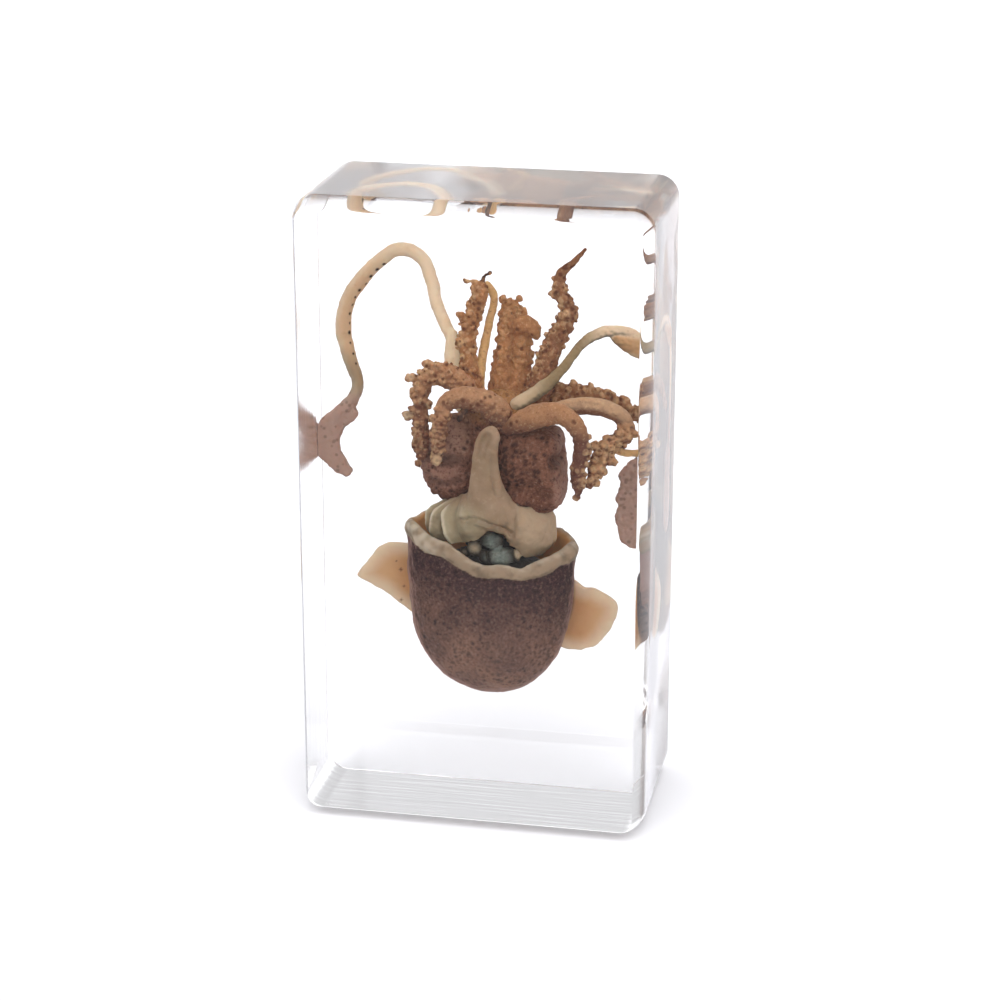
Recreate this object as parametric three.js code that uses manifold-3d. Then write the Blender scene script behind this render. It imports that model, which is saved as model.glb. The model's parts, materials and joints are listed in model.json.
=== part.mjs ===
// A small preserved cuttlefish sealed in a clear cast acrylic block.
// Millimetres, +Z up. The origin is the middle of the face the block stands on,
// X runs to the right across the front face and Y runs from the front to the back.

import * as THREE from 'three';
import { mergeVertices } from 'three/addons/utils/BufferGeometryUtils.js';
import loadManifold from 'manifold-3d';

const wasm = await loadManifold();
wasm.setup();

// The block: a rectangle with rounded corners, cast through its depth,
// with a small fillet round both faces.
const blockWidth = 40;
const blockDepth = 21;
const blockHeight = 72.5;
const cornerRadius = 2.5;
const faceFillet = 1.1;

// The block is parted at this depth, in two halves that close round the animal.
const partingDepth = 1.5;
const partingGap = 0.1;
const pieceGap = 0.3;
const pocketGap = 0.6;
const tentaclePocketGap = 0.8;

// The pocket round the head and the arms: an outline in X and Z, cut through this span of depth.
const crownPocketSpan = [-7, 6.8];
const crownPocketOutline = [[-7.6, 31.5], [-9.4, 39], [-9.4, 53.8], [-3.4, 54.6], [-2.6, 63.2], [1.4, 63.2],
  [2, 60.6], [6.6, 60.6], [9, 53.4], [16.5, 52.2], [19.3, 48.4], [19.3, 45.8], [16, 43], [14.4, 38.4],
  [10.6, 36], [10, 31.5]];

// The mantle: a blunt bag, open at the top, its front edge lower than its back edge.
const mantleCentre = { x: 1.1, y: 1.5 };
const mantleBottom = 13.9;
const mantleShoulder = 23.2;
const mantleRim = 32.6;
const mantleHalfWidth = 9.3;
const mantleRimHalfWidth = 9.7;
const mantleHalfDepth = 6;
const mantleWall = 1.3;
const mantleFloor = 26.5;
const mantleLip = 0.3;
const mantleLipHeight = 1.2;
const mantleFloorShare = 0.9;
const frontRimDip = 1.7;
const backRimRise = 1.5;
const rimTiltToRight = 0.03;

// The two fins, flat lobes on the back edges of the mantle.
// Their outlines run in X and Z from the root to the tip and back.
const finDepth = 5.4;
const finThickness = 1;
const finEdgeRadius = 0.35;
const leftFinOutline = [[-5.2, 30], [-9.2, 30.4], [-12.4, 29.8], [-15.2, 26.2],
  [-12.8, 24.8], [-9.6, 23], [-5.2, 20.6]];
const rightFinOutline = [[7.4, 28.4], [10.6, 27.8], [13, 26.6], [15.2, 24.8],
  [14.7, 21.8], [12.6, 19.2], [9.6, 18.9], [6.6, 20]];

// Bodies built up from rounded lumps: the middle of each lump and its half sizes.
const headLumps = [
  { at: [-3, 0.9, 42.3], half: [3.8, 4.2, 5.3] },
  { at: [5.8, 0.9, 41.4], half: [3.9, 4.3, 5.2] },
  { at: [1.4, 1.8, 41.8], half: [5, 4.2, 6] },
  { at: [2.6, 1.2, 47.4], half: [4.7, 3.4, 3.4] },
  { at: [1.4, 2, 36], half: [6, 3.6, 4.4] },
];
const visceraLumps = [
  { at: [2.4, -1.7, 32.1], half: [1.7, 1, 1.4] },
  { at: [3.4, -1.6, 30.6], half: [1.7, 1, 1.1] },
  { at: [0.2, -1.6, 31.6], half: [1.1, 0.9, 1.2] },
  { at: [1.4, 0.4, 29.2], half: [6, 3, 2] },
];

// The funnel: a tapering tube up the front of the head, on a collar round the neck.
const funnelPath = [[1.7, -3, 35.4], [1.3, -4, 38.4], [1.1, -4.7, 41.4], [1.3, -5.2, 44.4],
  [2.1, -5.5, 47.4]];
const funnelBaseRadius = 2.7;
const funnelTipRadius = 1;
const funnelTaper = 1.5;
const funnelMouthLength = 2;
const funnelMouthForward = 0.35;
const funnelWall = 0.35;
const collarPath = [[-6, 0.6, 34.6], [-4.6, -1.7, 34.6], [-1.4, -2.9, 35.8], [1.8, -3.2, 36.4],
  [5, -2.8, 35.4], [7.6, -1.6, 34.5], [8.8, 0.6, 34.6]];
const collarHalfHeight = 2.1;
const collarFlatness = 0.55;
const funnelFlatness = 0.7;

// Eight arms rise from the crown of the head. The radius is given at the base and the tip,
// and small suckers grow on one side over the stated share of the length, in two staggered rows.
const suckerStagger = 0.5;
const arms = [
  {
    name: 'arm_left_upright',
    path: [[-0.2, 1.2, 47.6], [-1.2, 1.8, 52], [-1.7, 2.4, 55], [-1.2, 2.8, 57.8], [-0.4, 3, 60.2],
      [-0.2, 3, 62]],
    base: 1.1, tip: 0.6, rows: 10,
    suckers: { count: 6, from: 0.35, to: 0.9, radius: 0.42, side: [-0.8, -0.6, 0] },
  },
  {
    name: 'arm_middle',
    path: [[3.1, 3.2, 47.6], [3.1, 4, 52], [3.5, 4.6, 55.6], [3.4, 4.9, 58.8]],
    base: 2.4, tip: 2, rows: 9, flatten: 0.55,
    suckers: { count: 7, from: 0.35, to: 0.97, radius: 0.55, side: [0.9, -0.3, 0.3] },
  },
  {
    name: 'arm_right_upright',
    path: [[5.6, 1.2, 48], [7, 2, 52.2], [7.8, 2.6, 55], [9, 2.9, 57.6], [9.8, 3, 59.6],
      [8.7, 3.2, 61.6], [8.7, 3.4, 63.4], [10, 3.5, 64.8], [11.4, 3.6, 66.4]],
    base: 1.25, tip: 0.2, rows: 14,
    suckers: { count: 6, from: 0.12, to: 0.62, radius: 0.42, side: [-0.7, -0.7, 0] },
  },
  {
    name: 'arm_left_curl',
    path: [[-0.6, -0.4, 48.8], [-3.7, -1, 51.7], [-5.8, -1.3, 52.1], [-6.9, -1.8, 50.2], [-6.7, -2.4, 47.6],
      [-6.5, -2.9, 45], [-6.4, -3.1, 42.6], [-6.5, -3, 40.6]],
    base: 1.15, tip: 0.6, rows: 13,
    suckers: { count: 6, from: 0.3, to: 0.95, radius: 0.5, side: [-0.9, -0.4, 0.2] },
  },
  {
    name: 'arm_front_left',
    path: [[2.6, -1.4, 47.4], [1.8, -2.8, 49.4], [0, -3.5, 50.1], [-2, -3.9, 50.2], [-3.4, -4.3, 49],
      [-3.7, -4.7, 46.8], [-3.9, -5, 44.6], [-4.1, -5, 42.8]],
    base: 1.5, tip: 0.55, rows: 12,
    suckers: { count: 5, from: 0.62, to: 0.99, radius: 0.48, side: [-0.8, -0.6, 0] },
  },
  {
    name: 'arm_front_right',
    path: [[4.2, -1.4, 46.6], [5.8, -2.9, 48.3], [8, -3.7, 49.1], [9.8, -4.1, 49], [11.4, -4.3, 47.8],
      [12, -4.3, 46], [11.8, -4.2, 43.8], [11.6, -4.1, 41.8], [11.6, -4, 39.8]],
    base: 1.3, tip: 0.5, rows: 13,
    suckers: { count: 5, from: 0.6, to: 0.96, radius: 0.42, side: [0.9, -0.3, 0] },
  },
  {
    name: 'arm_right_hooked',
    path: [[6, 0, 47.4], [9.2, -0.5, 49.2], [11.6, -0.6, 49.9], [13.8, -0.6, 49.7], [15.5, -0.6, 48.6],
      [16.1, -0.8, 46.8], [14.7, -1, 45.6], [13.8, -1.2, 44.2], [13.3, -1.4, 42.4], [12.7, -1.6, 40.2]],
    base: 1.1, tip: 0.6, rows: 15,
    suckers: { count: 7, from: 0.58, to: 0.97, radius: 0.5, side: [0.7, -0.7, 0] },
  },
  {
    name: 'arm_right_rear',
    path: [[5.4, 3.4, 47.2], [8.6, 3.9, 49.9], [11.2, 4, 50.5], [13.8, 4.2, 49.9], [16, 4.5, 48.8],
      [17.9, 4.8, 47.4]],
    base: 1.1, tip: 0.65, rows: 10,
    suckers: { count: 6, from: 0.2, to: 0.9, radius: 0.4, side: [0, -0.5, 0.9] },
  },
];

// Two long feeding tentacles, each a thin stalk with a wider club at its end. The foot tapers
// over the first share of the length, and the club swells and narrows again to its tip.
const footShare = 0.14;
const clubSweep = 0.86 * Math.PI;
const clubTipShare = 0.7;
const tentacles = [
  {
    name: 'tentacle_left',
    path: [[-2.2, 3, 47.6], [-3.1, 3.4, 52.2], [-3.6, 3.9, 55.4], [-4.9, 4.4, 57.6], [-5.8, 4.9, 59.4],
      [-6.4, 5.4, 62.4], [-7.6, 5.9, 64.2], [-9.6, 6.5, 64.9], [-12.1, 7, 63.6], [-14.4, 7.4, 61.2],
      [-16.2, 7.7, 58.6], [-16.9, 7.8, 55.2], [-16.1, 7.8, 51.6], [-15.1, 7.8, 48.4], [-15.4, 7.8, 46.2],
      [-17.3, 7.8, 44], [-17.9, 7.8, 41.4], [-17.5, 7.8, 39.4], [-16.4, 7.7, 38]],
    stalk: 0.75, club: 1, clubFrom: 0.84, foot: 0.95, rows: 36,
  },
  {
    name: 'tentacle_right',
    path: [[3.6, -0.8, 48.6], [5.6, -0.4, 50.6], [7.6, 0, 51.8], [9, 0.8, 53.4], [10.2, 2.2, 54.8],
      [11.6, 4, 56.2], [13.2, 5.4, 56.6], [15, 6.6, 56.2], [17, 7.2, 55], [18.2, 7.5, 52],
      [18.2, 7.6, 47], [17.7, 7.6, 42.6], [17.1, 7.5, 39], [17, 7.4, 35], [17.1, 7.4, 31.4]],
    stalk: 0.7, club: 1.7, clubFrom: 0.72, foot: 0.9, rows: 28, flatten: 0.65,
  },
];

// How finely the round forms are faceted, and how blunt the ends of a tube are.
const tubeSides = 7;
const roundSegments = 10;
const coarseSegments = 8;
const lumpRowShare = 0.7;
const mantleSegments = 20;
const mantleRows = 6;
const funnelRows = 6;
const collarRows = 9;
const finCurveSegments = 2;
const cornerSegments = 5;
const filletSegments = 3;
const pocketSides = 5;
const pocketArmRows = 8;
const pocketMantleRows = 5;
const endBluntness = 0.5;
const endRoundness = 0.8;
const mergeDistance = 1e-4;

const materials = {
  acrylic: new THREE.MeshStandardMaterial({
    color: 0xf4f7f8,
    roughness: 0.04,
    transparent: true,
    opacity: 0.25,
  }),
  mantle: new THREE.MeshStandardMaterial({ color: 0x66504e, roughness: 0.6 }),
  head: new THREE.MeshStandardMaterial({ color: 0x6b5350, roughness: 0.6 }),
  funnel: new THREE.MeshStandardMaterial({ color: 0xb5a189, roughness: 0.55 }),
  viscera: new THREE.MeshStandardMaterial({ color: 0x6f7a70, roughness: 0.5 }),
  arm: new THREE.MeshStandardMaterial({ color: 0x9a7557, roughness: 0.6 }),
  tentacle: new THREE.MeshStandardMaterial({ color: 0xcbb194, roughness: 0.6 }),
};

// Turns a closed three.js geometry into a solid, its faces set to point outwards.
function solidOf(geometry) {
  const bare = geometry.clone();
  bare.deleteAttribute('normal');
  bare.deleteAttribute('uv');
  const merged = mergeVertices(bare, mergeDistance);
  const corners = merged.getAttribute('position').array;
  const triangles = [];
  let volume = 0;
  for (let i = 0; i < merged.index.count; i += 3) {
    const [a, b, c] = [0, 1, 2].map((k) => merged.index.getX(i + k));
    if (a === b || b === c || c === a) continue;
    triangles.push(a, b, c);
    const [p, q, r] = [a, b, c].map((k) => new THREE.Vector3().fromArray(corners, 3 * k));
    volume += p.dot(q.cross(r));
  }
  if (volume < 0) triangles.reverse();
  return new wasm.Manifold(new wasm.Mesh({
    numProp: 3,
    vertProperties: new Float32Array(corners),
    triVerts: new Uint32Array(triangles),
  }));
}

// The largest single body of a solid, without the crumbs that a cut can leave.
function mainBody(solid) {
  return solid.decompose().sort((a, b) => b.volume() - a.volume())[0];
}

function meshOf(solid, name, material) {
  const { vertProperties, triVerts } = solid.getMesh();
  const geometry = new THREE.BufferGeometry();
  geometry.setAttribute('position', new THREE.BufferAttribute(new Float32Array(vertProperties), 3));
  geometry.setIndex(new THREE.BufferAttribute(new Uint32Array(triVerts), 1));
  geometry.computeVertexNormals();
  const mesh = new THREE.Mesh(geometry, material);
  mesh.name = name;
  return mesh;
}

function joined(solids) {
  return solids.reduce((whole, next) => whole.add(next));
}

// A rounded lump, grown outwards by a margin.
function lump({ at, half }, grow, segments = roundSegments) {
  const ball = new THREE.SphereGeometry(1, segments, Math.round(segments * lumpRowShare));
  ball.rotateX(Math.PI / 2);
  ball.scale(...half.map((size) => size + grow));
  ball.translate(...at);
  return solidOf(ball);
}

// A turned taper bent along a smooth path, blunt at both ends and grown outwards by a margin.
// The radius is a function of the share of the length, and the section may be flattened in depth.
function bentTaper(points, radiusAt, { sides, rows, flatten = 1, grow = 0 }) {
  const route = points.map((p) => new THREE.Vector3(...p));
  const stretch = (end, next) => end.clone().sub(next).setLength(grow).add(end);
  const ends = [stretch(route[0], route[1]), stretch(route.at(-1), route.at(-2))];
  const path = new THREE.CatmullRomCurve3([ends[0], ...route.slice(1, -1), ends[1]], false, 'centripetal');
  const length = path.getLength();
  const rings = [{ share: 0, radius: 0 }];
  const addRing = (share, scale) => rings.push({ share, radius: scale * (radiusAt(share) + grow) });
  const bluntEnd = (share) => (endBluntness * (radiusAt(share) + grow)) / length;
  addRing(bluntEnd(0), endRoundness);
  for (let row = 1; row < rows; row++) addRing(row / rows, 1);
  addRing(1 - bluntEnd(1), endRoundness);
  rings.push({ share: 1, radius: 0 });
  const turned = new THREE.LatheGeometry(rings.map(({ radius }, i) => new THREE.Vector2(radius, i)), sides);
  const spots = turned.getAttribute('position');
  for (let i = 0; i < spots.count; i++) {
    const { share } = rings[Math.round(spots.getY(i))];
    const along = path.getTangentAt(share);
    const depth = new THREE.Vector3(0, 1, 0);
    const across = new THREE.Vector3().crossVectors(along, depth).normalize();
    depth.crossVectors(across, along);
    const spot = path.getPointAt(share);
    spot.addScaledVector(across, spots.getX(i));
    spot.addScaledVector(depth, spots.getZ(i) * flatten);
    spots.setXYZ(i, spot.x, spot.y, spot.z);
  }
  return { solid: solidOf(turned), path };
}

function armRadius({ base, tip }, share) {
  return base + (tip - base) * share;
}

function armStem(arm, grow, sides = tubeSides, rows = arm.rows) {
  return bentTaper(arm.path, (share) => armRadius(arm, share), { sides, rows, grow, flatten: arm.flatten });
}

function armSuckers(arm, path, grow) {
  const { count, from, to, radius, side } = arm.suckers;
  const towards = new THREE.Vector3(...side).normalize();
  const solids = [];
  for (let i = 0; i < count; i++) {
    const share = from + ((to - from) * i) / (count - 1);
    const along = path.getTangentAt(share);
    const out = towards.clone().projectOnPlane(along).normalize();
    out.applyAxisAngle(along, i % 2 ? suckerStagger : -suckerStagger);
    const spot = path.getPointAt(share).addScaledVector(out, armRadius(arm, share));
    const ball = new THREE.IcosahedronGeometry(radius + grow, 0);
    ball.translate(spot.x, spot.y, spot.z);
    solids.push(solidOf(ball));
  }
  return solids;
}

function armSolid(arm, grow) {
  const { solid, path } = armStem(arm, grow);
  return joined([solid, ...armSuckers(arm, path, grow)]);
}

function tentacleRadius({ stalk, club, clubFrom, foot }, share) {
  if (share < footShare) return foot + ((stalk - foot) * share) / footShare;
  if (share < clubFrom) return stalk;
  const swell = Math.sin(((share - clubFrom) / (1 - clubFrom)) * clubSweep);
  return Math.max(stalk * clubTipShare, stalk + (club - stalk) * swell);
}

function tentacleSolid(tentacle, grow, sides = tubeSides, rows = tentacle.rows) {
  const shape = { sides, rows, grow, flatten: tentacle.flatten };
  return bentTaper(tentacle.path, (share) => tentacleRadius(tentacle, share), shape).solid;
}

// The outer outline of the mantle, from its blunt end up to the rim.
function mantleWallPoints(grow, divisions) {
  const outline = new THREE.Path();
  const end = mantleBottom - grow;
  outline.moveTo(0, end);
  outline.absellipse(0, mantleShoulder, mantleHalfWidth + grow, mantleShoulder - end, -Math.PI / 2, 0);
  outline.lineTo(mantleRimHalfWidth + grow, mantleRim - mantleLipHeight);
  return outline.getPoints(divisions);
}

// Gives a turned mantle its flat section and its slanting rim.
function settleMantle(turned) {
  turned.rotateX(Math.PI / 2);
  const spots = turned.getAttribute('position');
  for (let i = 0; i < spots.count; i++) {
    const x = spots.getX(i);
    const y = (spots.getY(i) * mantleHalfDepth) / mantleHalfWidth;
    const z = spots.getZ(i);
    const towardsBack = y / mantleHalfDepth;
    const share = THREE.MathUtils.smoothstep(z, mantleShoulder, mantleRim);
    const lift = towardsBack * Math.abs(towardsBack) * (towardsBack < 0 ? frontRimDip : backRimRise);
    spots.setXYZ(i, mantleCentre.x + x, mantleCentre.y + y, z + share * (lift - rimTiltToRight * x));
  }
  return solidOf(turned);
}

function mantleBag(grow = 0) {
  const [outer, inner] = [mantleRimHalfWidth + grow, mantleRimHalfWidth - mantleWall - grow];
  const [top, floor] = [mantleRim + grow, mantleFloor + grow];
  const profile = mantleWallPoints(grow, mantleRows);
  profile.push(new THREE.Vector2(outer + mantleLip, mantleRim - mantleLipHeight / 2));
  profile.push(new THREE.Vector2(outer, top));
  profile.push(new THREE.Vector2(inner, top));
  profile.push(new THREE.Vector2(inner * mantleFloorShare, floor));
  profile.push(new THREE.Vector2(0, floor));
  return settleMantle(new THREE.LatheGeometry(profile, mantleSegments));
}

// The full outer form of the mantle, closed at the top, for the pocket round it.
function mantleForm(grow) {
  const profile = mantleWallPoints(grow, pocketMantleRows);
  profile.push(new THREE.Vector2(mantleRimHalfWidth + mantleLip + grow, mantleRim + grow));
  profile.push(new THREE.Vector2(0, mantleRim + grow));
  return settleMantle(new THREE.LatheGeometry(profile, mantleSegments));
}

function fin(outline, grow) {
  const edge = new THREE.Shape();
  edge.moveTo(...outline[0]);
  edge.splineThru(outline.slice(1).map((p) => new THREE.Vector2(...p)));
  const round = finEdgeRadius + grow;
  const plate = new THREE.ExtrudeGeometry(edge, {
    depth: finThickness - 2 * finEdgeRadius,
    bevelThickness: round,
    bevelSize: round,
    bevelOffset: -finEdgeRadius,
    bevelSegments: 1,
    curveSegments: finCurveSegments,
  });
  plate.rotateX(Math.PI / 2);
  plate.translate(0, finDepth + finThickness / 2, 0);
  return solidOf(plate);
}

function fins(grow) {
  return [leftFinOutline, rightFinOutline].map((outline) => fin(outline, grow));
}

function mantleSolid(grow) {
  return joined([mantleBag(grow), ...fins(grow)]);
}

function funnelRadius(share) {
  return funnelTipRadius + (funnelBaseRadius - funnelTipRadius) * (1 - share) ** funnelTaper;
}

function funnelSolid(grow = 0) {
  const tubeShape = { sides: coarseSegments, rows: funnelRows, flatten: funnelFlatness, grow };
  const bandShape = { sides: coarseSegments, rows: collarRows, flatten: collarFlatness, grow };
  const tube = bentTaper(funnelPath, funnelRadius, tubeShape).solid;
  const band = bentTaper(collarPath, () => collarHalfHeight, bandShape).solid;
  const whole = tube.add(band);
  if (grow) return whole;
  const [x, y, z] = funnelPath.at(-1);
  const bore = funnelTipRadius - funnelWall;
  const mouth = { at: [x, y - funnelMouthForward, z], half: [bore, bore, funnelMouthLength] };
  return whole.subtract(lump(mouth, 0, coarseSegments));
}

function headSolid(grow = 0) {
  return joined(headLumps.map((shape) => lump(shape, grow)));
}

function visceraSolid(grow = 0) {
  return joined(visceraLumps.map((shape) => lump(shape, grow, coarseSegments - 1)));
}

// The block itself, whole.
function blockSolid() {
  const [halfWidth, r] = [blockWidth / 2, cornerRadius];
  const face = new THREE.Shape();
  face.moveTo(halfWidth - r, 0);
  face.absarc(halfWidth - r, r, r, -Math.PI / 2, 0);
  face.absarc(halfWidth - r, blockHeight - r, r, 0, Math.PI / 2);
  face.absarc(r - halfWidth, blockHeight - r, r, Math.PI / 2, Math.PI);
  face.absarc(r - halfWidth, r, r, Math.PI, 1.5 * Math.PI);
  const cast = new THREE.ExtrudeGeometry(face, {
    depth: blockDepth - 2 * faceFillet,
    bevelThickness: faceFillet,
    bevelSize: faceFillet,
    bevelOffset: -faceFillet,
    bevelSegments: filletSegments,
    curveSegments: cornerSegments,
  });
  cast.rotateX(Math.PI / 2);
  cast.translate(0, blockDepth / 2 - faceFillet, 0);
  return solidOf(cast);
}

// A box that takes all of the block from one depth to another.
function slab(fromDepth, toDepth) {
  const box = new THREE.BoxGeometry(2 * blockWidth, toDepth - fromDepth, 2 * blockHeight);
  box.translate(0, (fromDepth + toDepth) / 2, blockHeight / 2);
  return solidOf(box);
}

// The pocket that the animal lies in: its main forms, plainer and a little larger.
function pocketSolid() {
  const [front, back] = crownPocketSpan;
  const outline = new THREE.Shape(crownPocketOutline.map((p) => new THREE.Vector2(...p)));
  const crown = new THREE.ExtrudeGeometry(outline, { depth: back - front, bevelEnabled: false });
  crown.rotateX(Math.PI / 2);
  crown.translate(0, back, 0);
  const tallArm = arms.find(({ name }) => name === 'arm_right_upright');
  return joined([
    solidOf(crown),
    mantleForm(pocketGap),
    ...fins(pocketGap),
    armStem(tallArm, 2 * pocketGap, pocketSides, pocketArmRows).solid,
    ...tentacles.map((each) => tentacleSolid(each, tentaclePocketGap, pocketSides, each.rows / 2)),
  ]);
}

// The animal's pieces, from the ones that keep their full form to those cut back clear of them.
const pieces = [
  { name: 'mantle', material: materials.mantle, make: mantleSolid },
  { name: 'funnel', material: materials.funnel, make: funnelSolid },
  { name: 'viscera', material: materials.viscera, make: visceraSolid },
  { name: 'head', material: materials.head, make: headSolid },
  ...arms.map((arm) => ({
    name: arm.name,
    material: materials.arm,
    make: (grow) => armSolid(arm, grow),
  })),
  ...tentacles.map((tentacle) => ({
    name: tentacle.name,
    material: materials.tentacle,
    make: (grow) => tentacleSolid(tentacle, grow),
  })),
];

const part = new THREE.Group();

const block = blockSolid();
const pocket = pocketSolid();
const halves = {
  block_front: slab(-blockDepth, partingDepth - partingGap / 2),
  block_back: slab(partingDepth + partingGap / 2, blockDepth),
};
for (const [name, side] of Object.entries(halves)) {
  const half = mainBody(block.intersect(side).subtract(pocket));
  part.add(meshOf(half, name, materials.acrylic));
}

pieces.forEach(({ name, material, make }, order) => {
  let solid = make(0);
  for (const earlier of pieces.slice(0, order)) solid = solid.subtract(earlier.make(pieceGap));
  part.add(meshOf(mainBody(solid), name, material));
});

export default part;
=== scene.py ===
import json
import math
import random

import bmesh
import bpy
from mathutils import Matrix, Vector, kdtree, noise

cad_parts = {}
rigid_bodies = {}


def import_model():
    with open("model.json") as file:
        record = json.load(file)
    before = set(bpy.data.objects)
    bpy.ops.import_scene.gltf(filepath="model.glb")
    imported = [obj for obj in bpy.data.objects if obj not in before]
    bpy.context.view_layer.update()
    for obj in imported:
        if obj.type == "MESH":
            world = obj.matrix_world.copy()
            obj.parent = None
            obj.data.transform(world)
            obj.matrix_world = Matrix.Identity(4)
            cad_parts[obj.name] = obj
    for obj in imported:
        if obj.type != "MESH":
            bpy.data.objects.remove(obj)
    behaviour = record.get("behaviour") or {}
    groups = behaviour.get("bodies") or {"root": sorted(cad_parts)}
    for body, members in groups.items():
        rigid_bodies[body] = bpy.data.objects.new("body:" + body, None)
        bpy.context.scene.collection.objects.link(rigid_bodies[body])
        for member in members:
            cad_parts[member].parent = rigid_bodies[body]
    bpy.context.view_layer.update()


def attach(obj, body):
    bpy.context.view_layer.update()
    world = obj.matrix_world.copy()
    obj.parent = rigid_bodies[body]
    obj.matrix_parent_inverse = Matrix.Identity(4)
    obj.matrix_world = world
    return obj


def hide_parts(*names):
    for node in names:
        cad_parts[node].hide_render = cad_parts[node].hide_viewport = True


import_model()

mm = 0.001  # the animal is modelled in millimetres and set down to metres when a piece is done


# small helpers that every piece uses

def startFresh(*picked):
    bpy.ops.object.select_all(action="DESELECT")
    for piece in picked:
        piece.select_set(True)
    if picked:
        bpy.context.view_layer.objects.active = picked[0]


def ramp(low, high, value):
    # 0 up to low, 1 from high on and smooth between; with low above high it runs the other way
    share = min(1, max(0, (value - low) / (high - low)))
    return share * share * (3 - 2 * share)


def fillTree(spots):
    # finds the nearest of many spots
    tree = kdtree.KDTree(len(spots))
    for index, spot in enumerate(spots):
        tree.insert(spot, index)
    tree.balance()
    return tree


lastShare = 0.9999  # just short of a route's end, so that there is always a next point


def routePoint(route, share):
    # a smooth curve through the listed points
    spots = [Vector(spot) for spot in route]
    spots = [2 * spots[0] - spots[1]] + spots + [2 * spots[-1] - spots[-2]]
    run = min(max(share, 0), lastShare) * (len(route) - 1)
    start = int(run)
    t = run - start
    a, b, c, d = spots[start:start + 4]
    bend = 2 * b + (c - a) * t + (2 * a - 5 * b + 4 * c - d) * t ** 2 + (3 * b - a - 3 * c + d) * t ** 3
    return 0.5 * bend


def routeWay(route, share, step=0.01):
    # the direction in which the route runs
    return (routePoint(route, share + step) - routePoint(route, share - step)).normalized()


def routeRadius(radii, share):
    run = min(max(share, 0), lastShare) * (len(radii) - 1)
    start = int(run)
    return radii[start] + (radii[start + 1] - radii[start]) * (run - start)


def applyModifier(piece, kind, **settings):
    bpy.ops.object.modifier_add(type=kind)
    change = piece.modifiers[-1]
    for key, value in settings.items():
        setattr(change, key, value)
    bpy.ops.object.modifier_apply(modifier=change.name)


tubeShape = {"capReach": 0.6, "capRadius": 0.45, "stepsPerPoint": 8, "roundness": 6, "searchSteps": 200}


def addTube(route, radii, flat=1):
    # a round bar bent along the route, with rounded ends; flat squeezes it in depth
    route = [Vector(spot) for spot in route]
    first = route[0] + (route[0] - route[1]).normalized() * radii[0] * tubeShape["capReach"]
    last = route[-1] + (route[-1] - route[-2]).normalized() * radii[-1] * tubeShape["capReach"]
    route = [first] + route + [last]
    radii = [radii[0] * tubeShape["capRadius"]] + list(radii) + [radii[-1] * tubeShape["capRadius"]]
    startFresh()
    bpy.ops.curve.primitive_bezier_curve_add()
    tube = bpy.context.object
    spline = tube.data.splines[0]
    spline.bezier_points.add(len(route) - 2)
    for point, spot, radius in zip(spline.bezier_points, route, radii):
        point.co = spot
        point.radius = radius
        point.handle_left_type = point.handle_right_type = "AUTO"
    spline.resolution_u = tubeShape["stepsPerPoint"]
    spline.radius_interpolation = "CARDINAL"
    tube.data.bevel_depth = 1
    tube.data.bevel_resolution = tubeShape["roundness"]
    tube.data.use_fill_caps = True
    bpy.ops.object.convert(target="MESH")
    tube = bpy.context.object
    if flat != 1:
        steps = tubeShape["searchSteps"]
        middles = fillTree([routePoint(route, step / steps) for step in range(steps + 1)])
        for vertex in tube.data.vertices:
            middle = middles.find(vertex.co)[0]
            vertex.co.y = middle.y + (vertex.co.y - middle.y) * flat
    return tube


def sizeLump(half, lean):
    # gives the new lump its half sizes and leans it in the picture plane, in degrees
    lump = bpy.context.object
    lump.scale = half
    lump.rotation_euler.y = math.radians(lean)
    bpy.ops.object.transform_apply(location=True, rotation=True, scale=True)
    return lump


def addBall(at, half, lean):
    startFresh()
    bpy.ops.mesh.primitive_uv_sphere_add(segments=28, ring_count=18, radius=1, location=at)
    return sizeLump(half, lean)


def addBrick(at, half, lean):
    # a cube rounded by bevel and subdivision, for lumps with flat cheeks
    bevelShare = 0.55
    startFresh()
    bpy.ops.mesh.primitive_cube_add(size=2, location=at)
    brick = sizeLump(half, lean)
    bpy.ops.object.mode_set(mode="EDIT")
    bpy.ops.mesh.select_all(action="SELECT")
    bpy.ops.mesh.bevel(offset=min(half) * bevelShare, segments=3)
    bpy.ops.object.mode_set(mode="OBJECT")
    applyModifier(brick, "SUBSURF", levels=2, render_levels=2)
    return brick


def addPlate(outline, depth, thick, soft):
    # a flat lobe cut to an outline of x and z, with rounded edges
    startFresh()
    bpy.ops.mesh.primitive_circle_add(vertices=len(outline), fill_type="NGON")
    plate = bpy.context.object
    for vertex, (x, z) in zip(plate.data.vertices, outline):
        vertex.co = (x, depth + thick / 2, z)
    bpy.ops.object.mode_set(mode="EDIT")
    bpy.ops.mesh.select_all(action="SELECT")
    bpy.ops.mesh.extrude_region_move(TRANSFORM_OT_translate={"value": (0, -thick, 0)})
    bpy.ops.mesh.select_all(action="SELECT")
    bpy.ops.mesh.normals_make_consistent(inside=False)
    bpy.ops.mesh.select_mode(type="EDGE")
    bpy.ops.mesh.bevel(offset=soft, segments=3)
    bpy.ops.object.mode_set(mode="OBJECT")
    return plate


def fuseSkin(parts, voxel, softness):
    # the parts grow together into one skin
    startFresh(*parts)
    bpy.ops.object.join()
    skin = bpy.context.object
    bpy.ops.object.transform_apply(location=True, rotation=True, scale=True)
    applyModifier(skin, "REMESH", mode="VOXEL", voxel_size=voxel)
    applyModifier(skin, "SMOOTH", factor=0.5, iterations=softness)
    return skin


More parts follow.
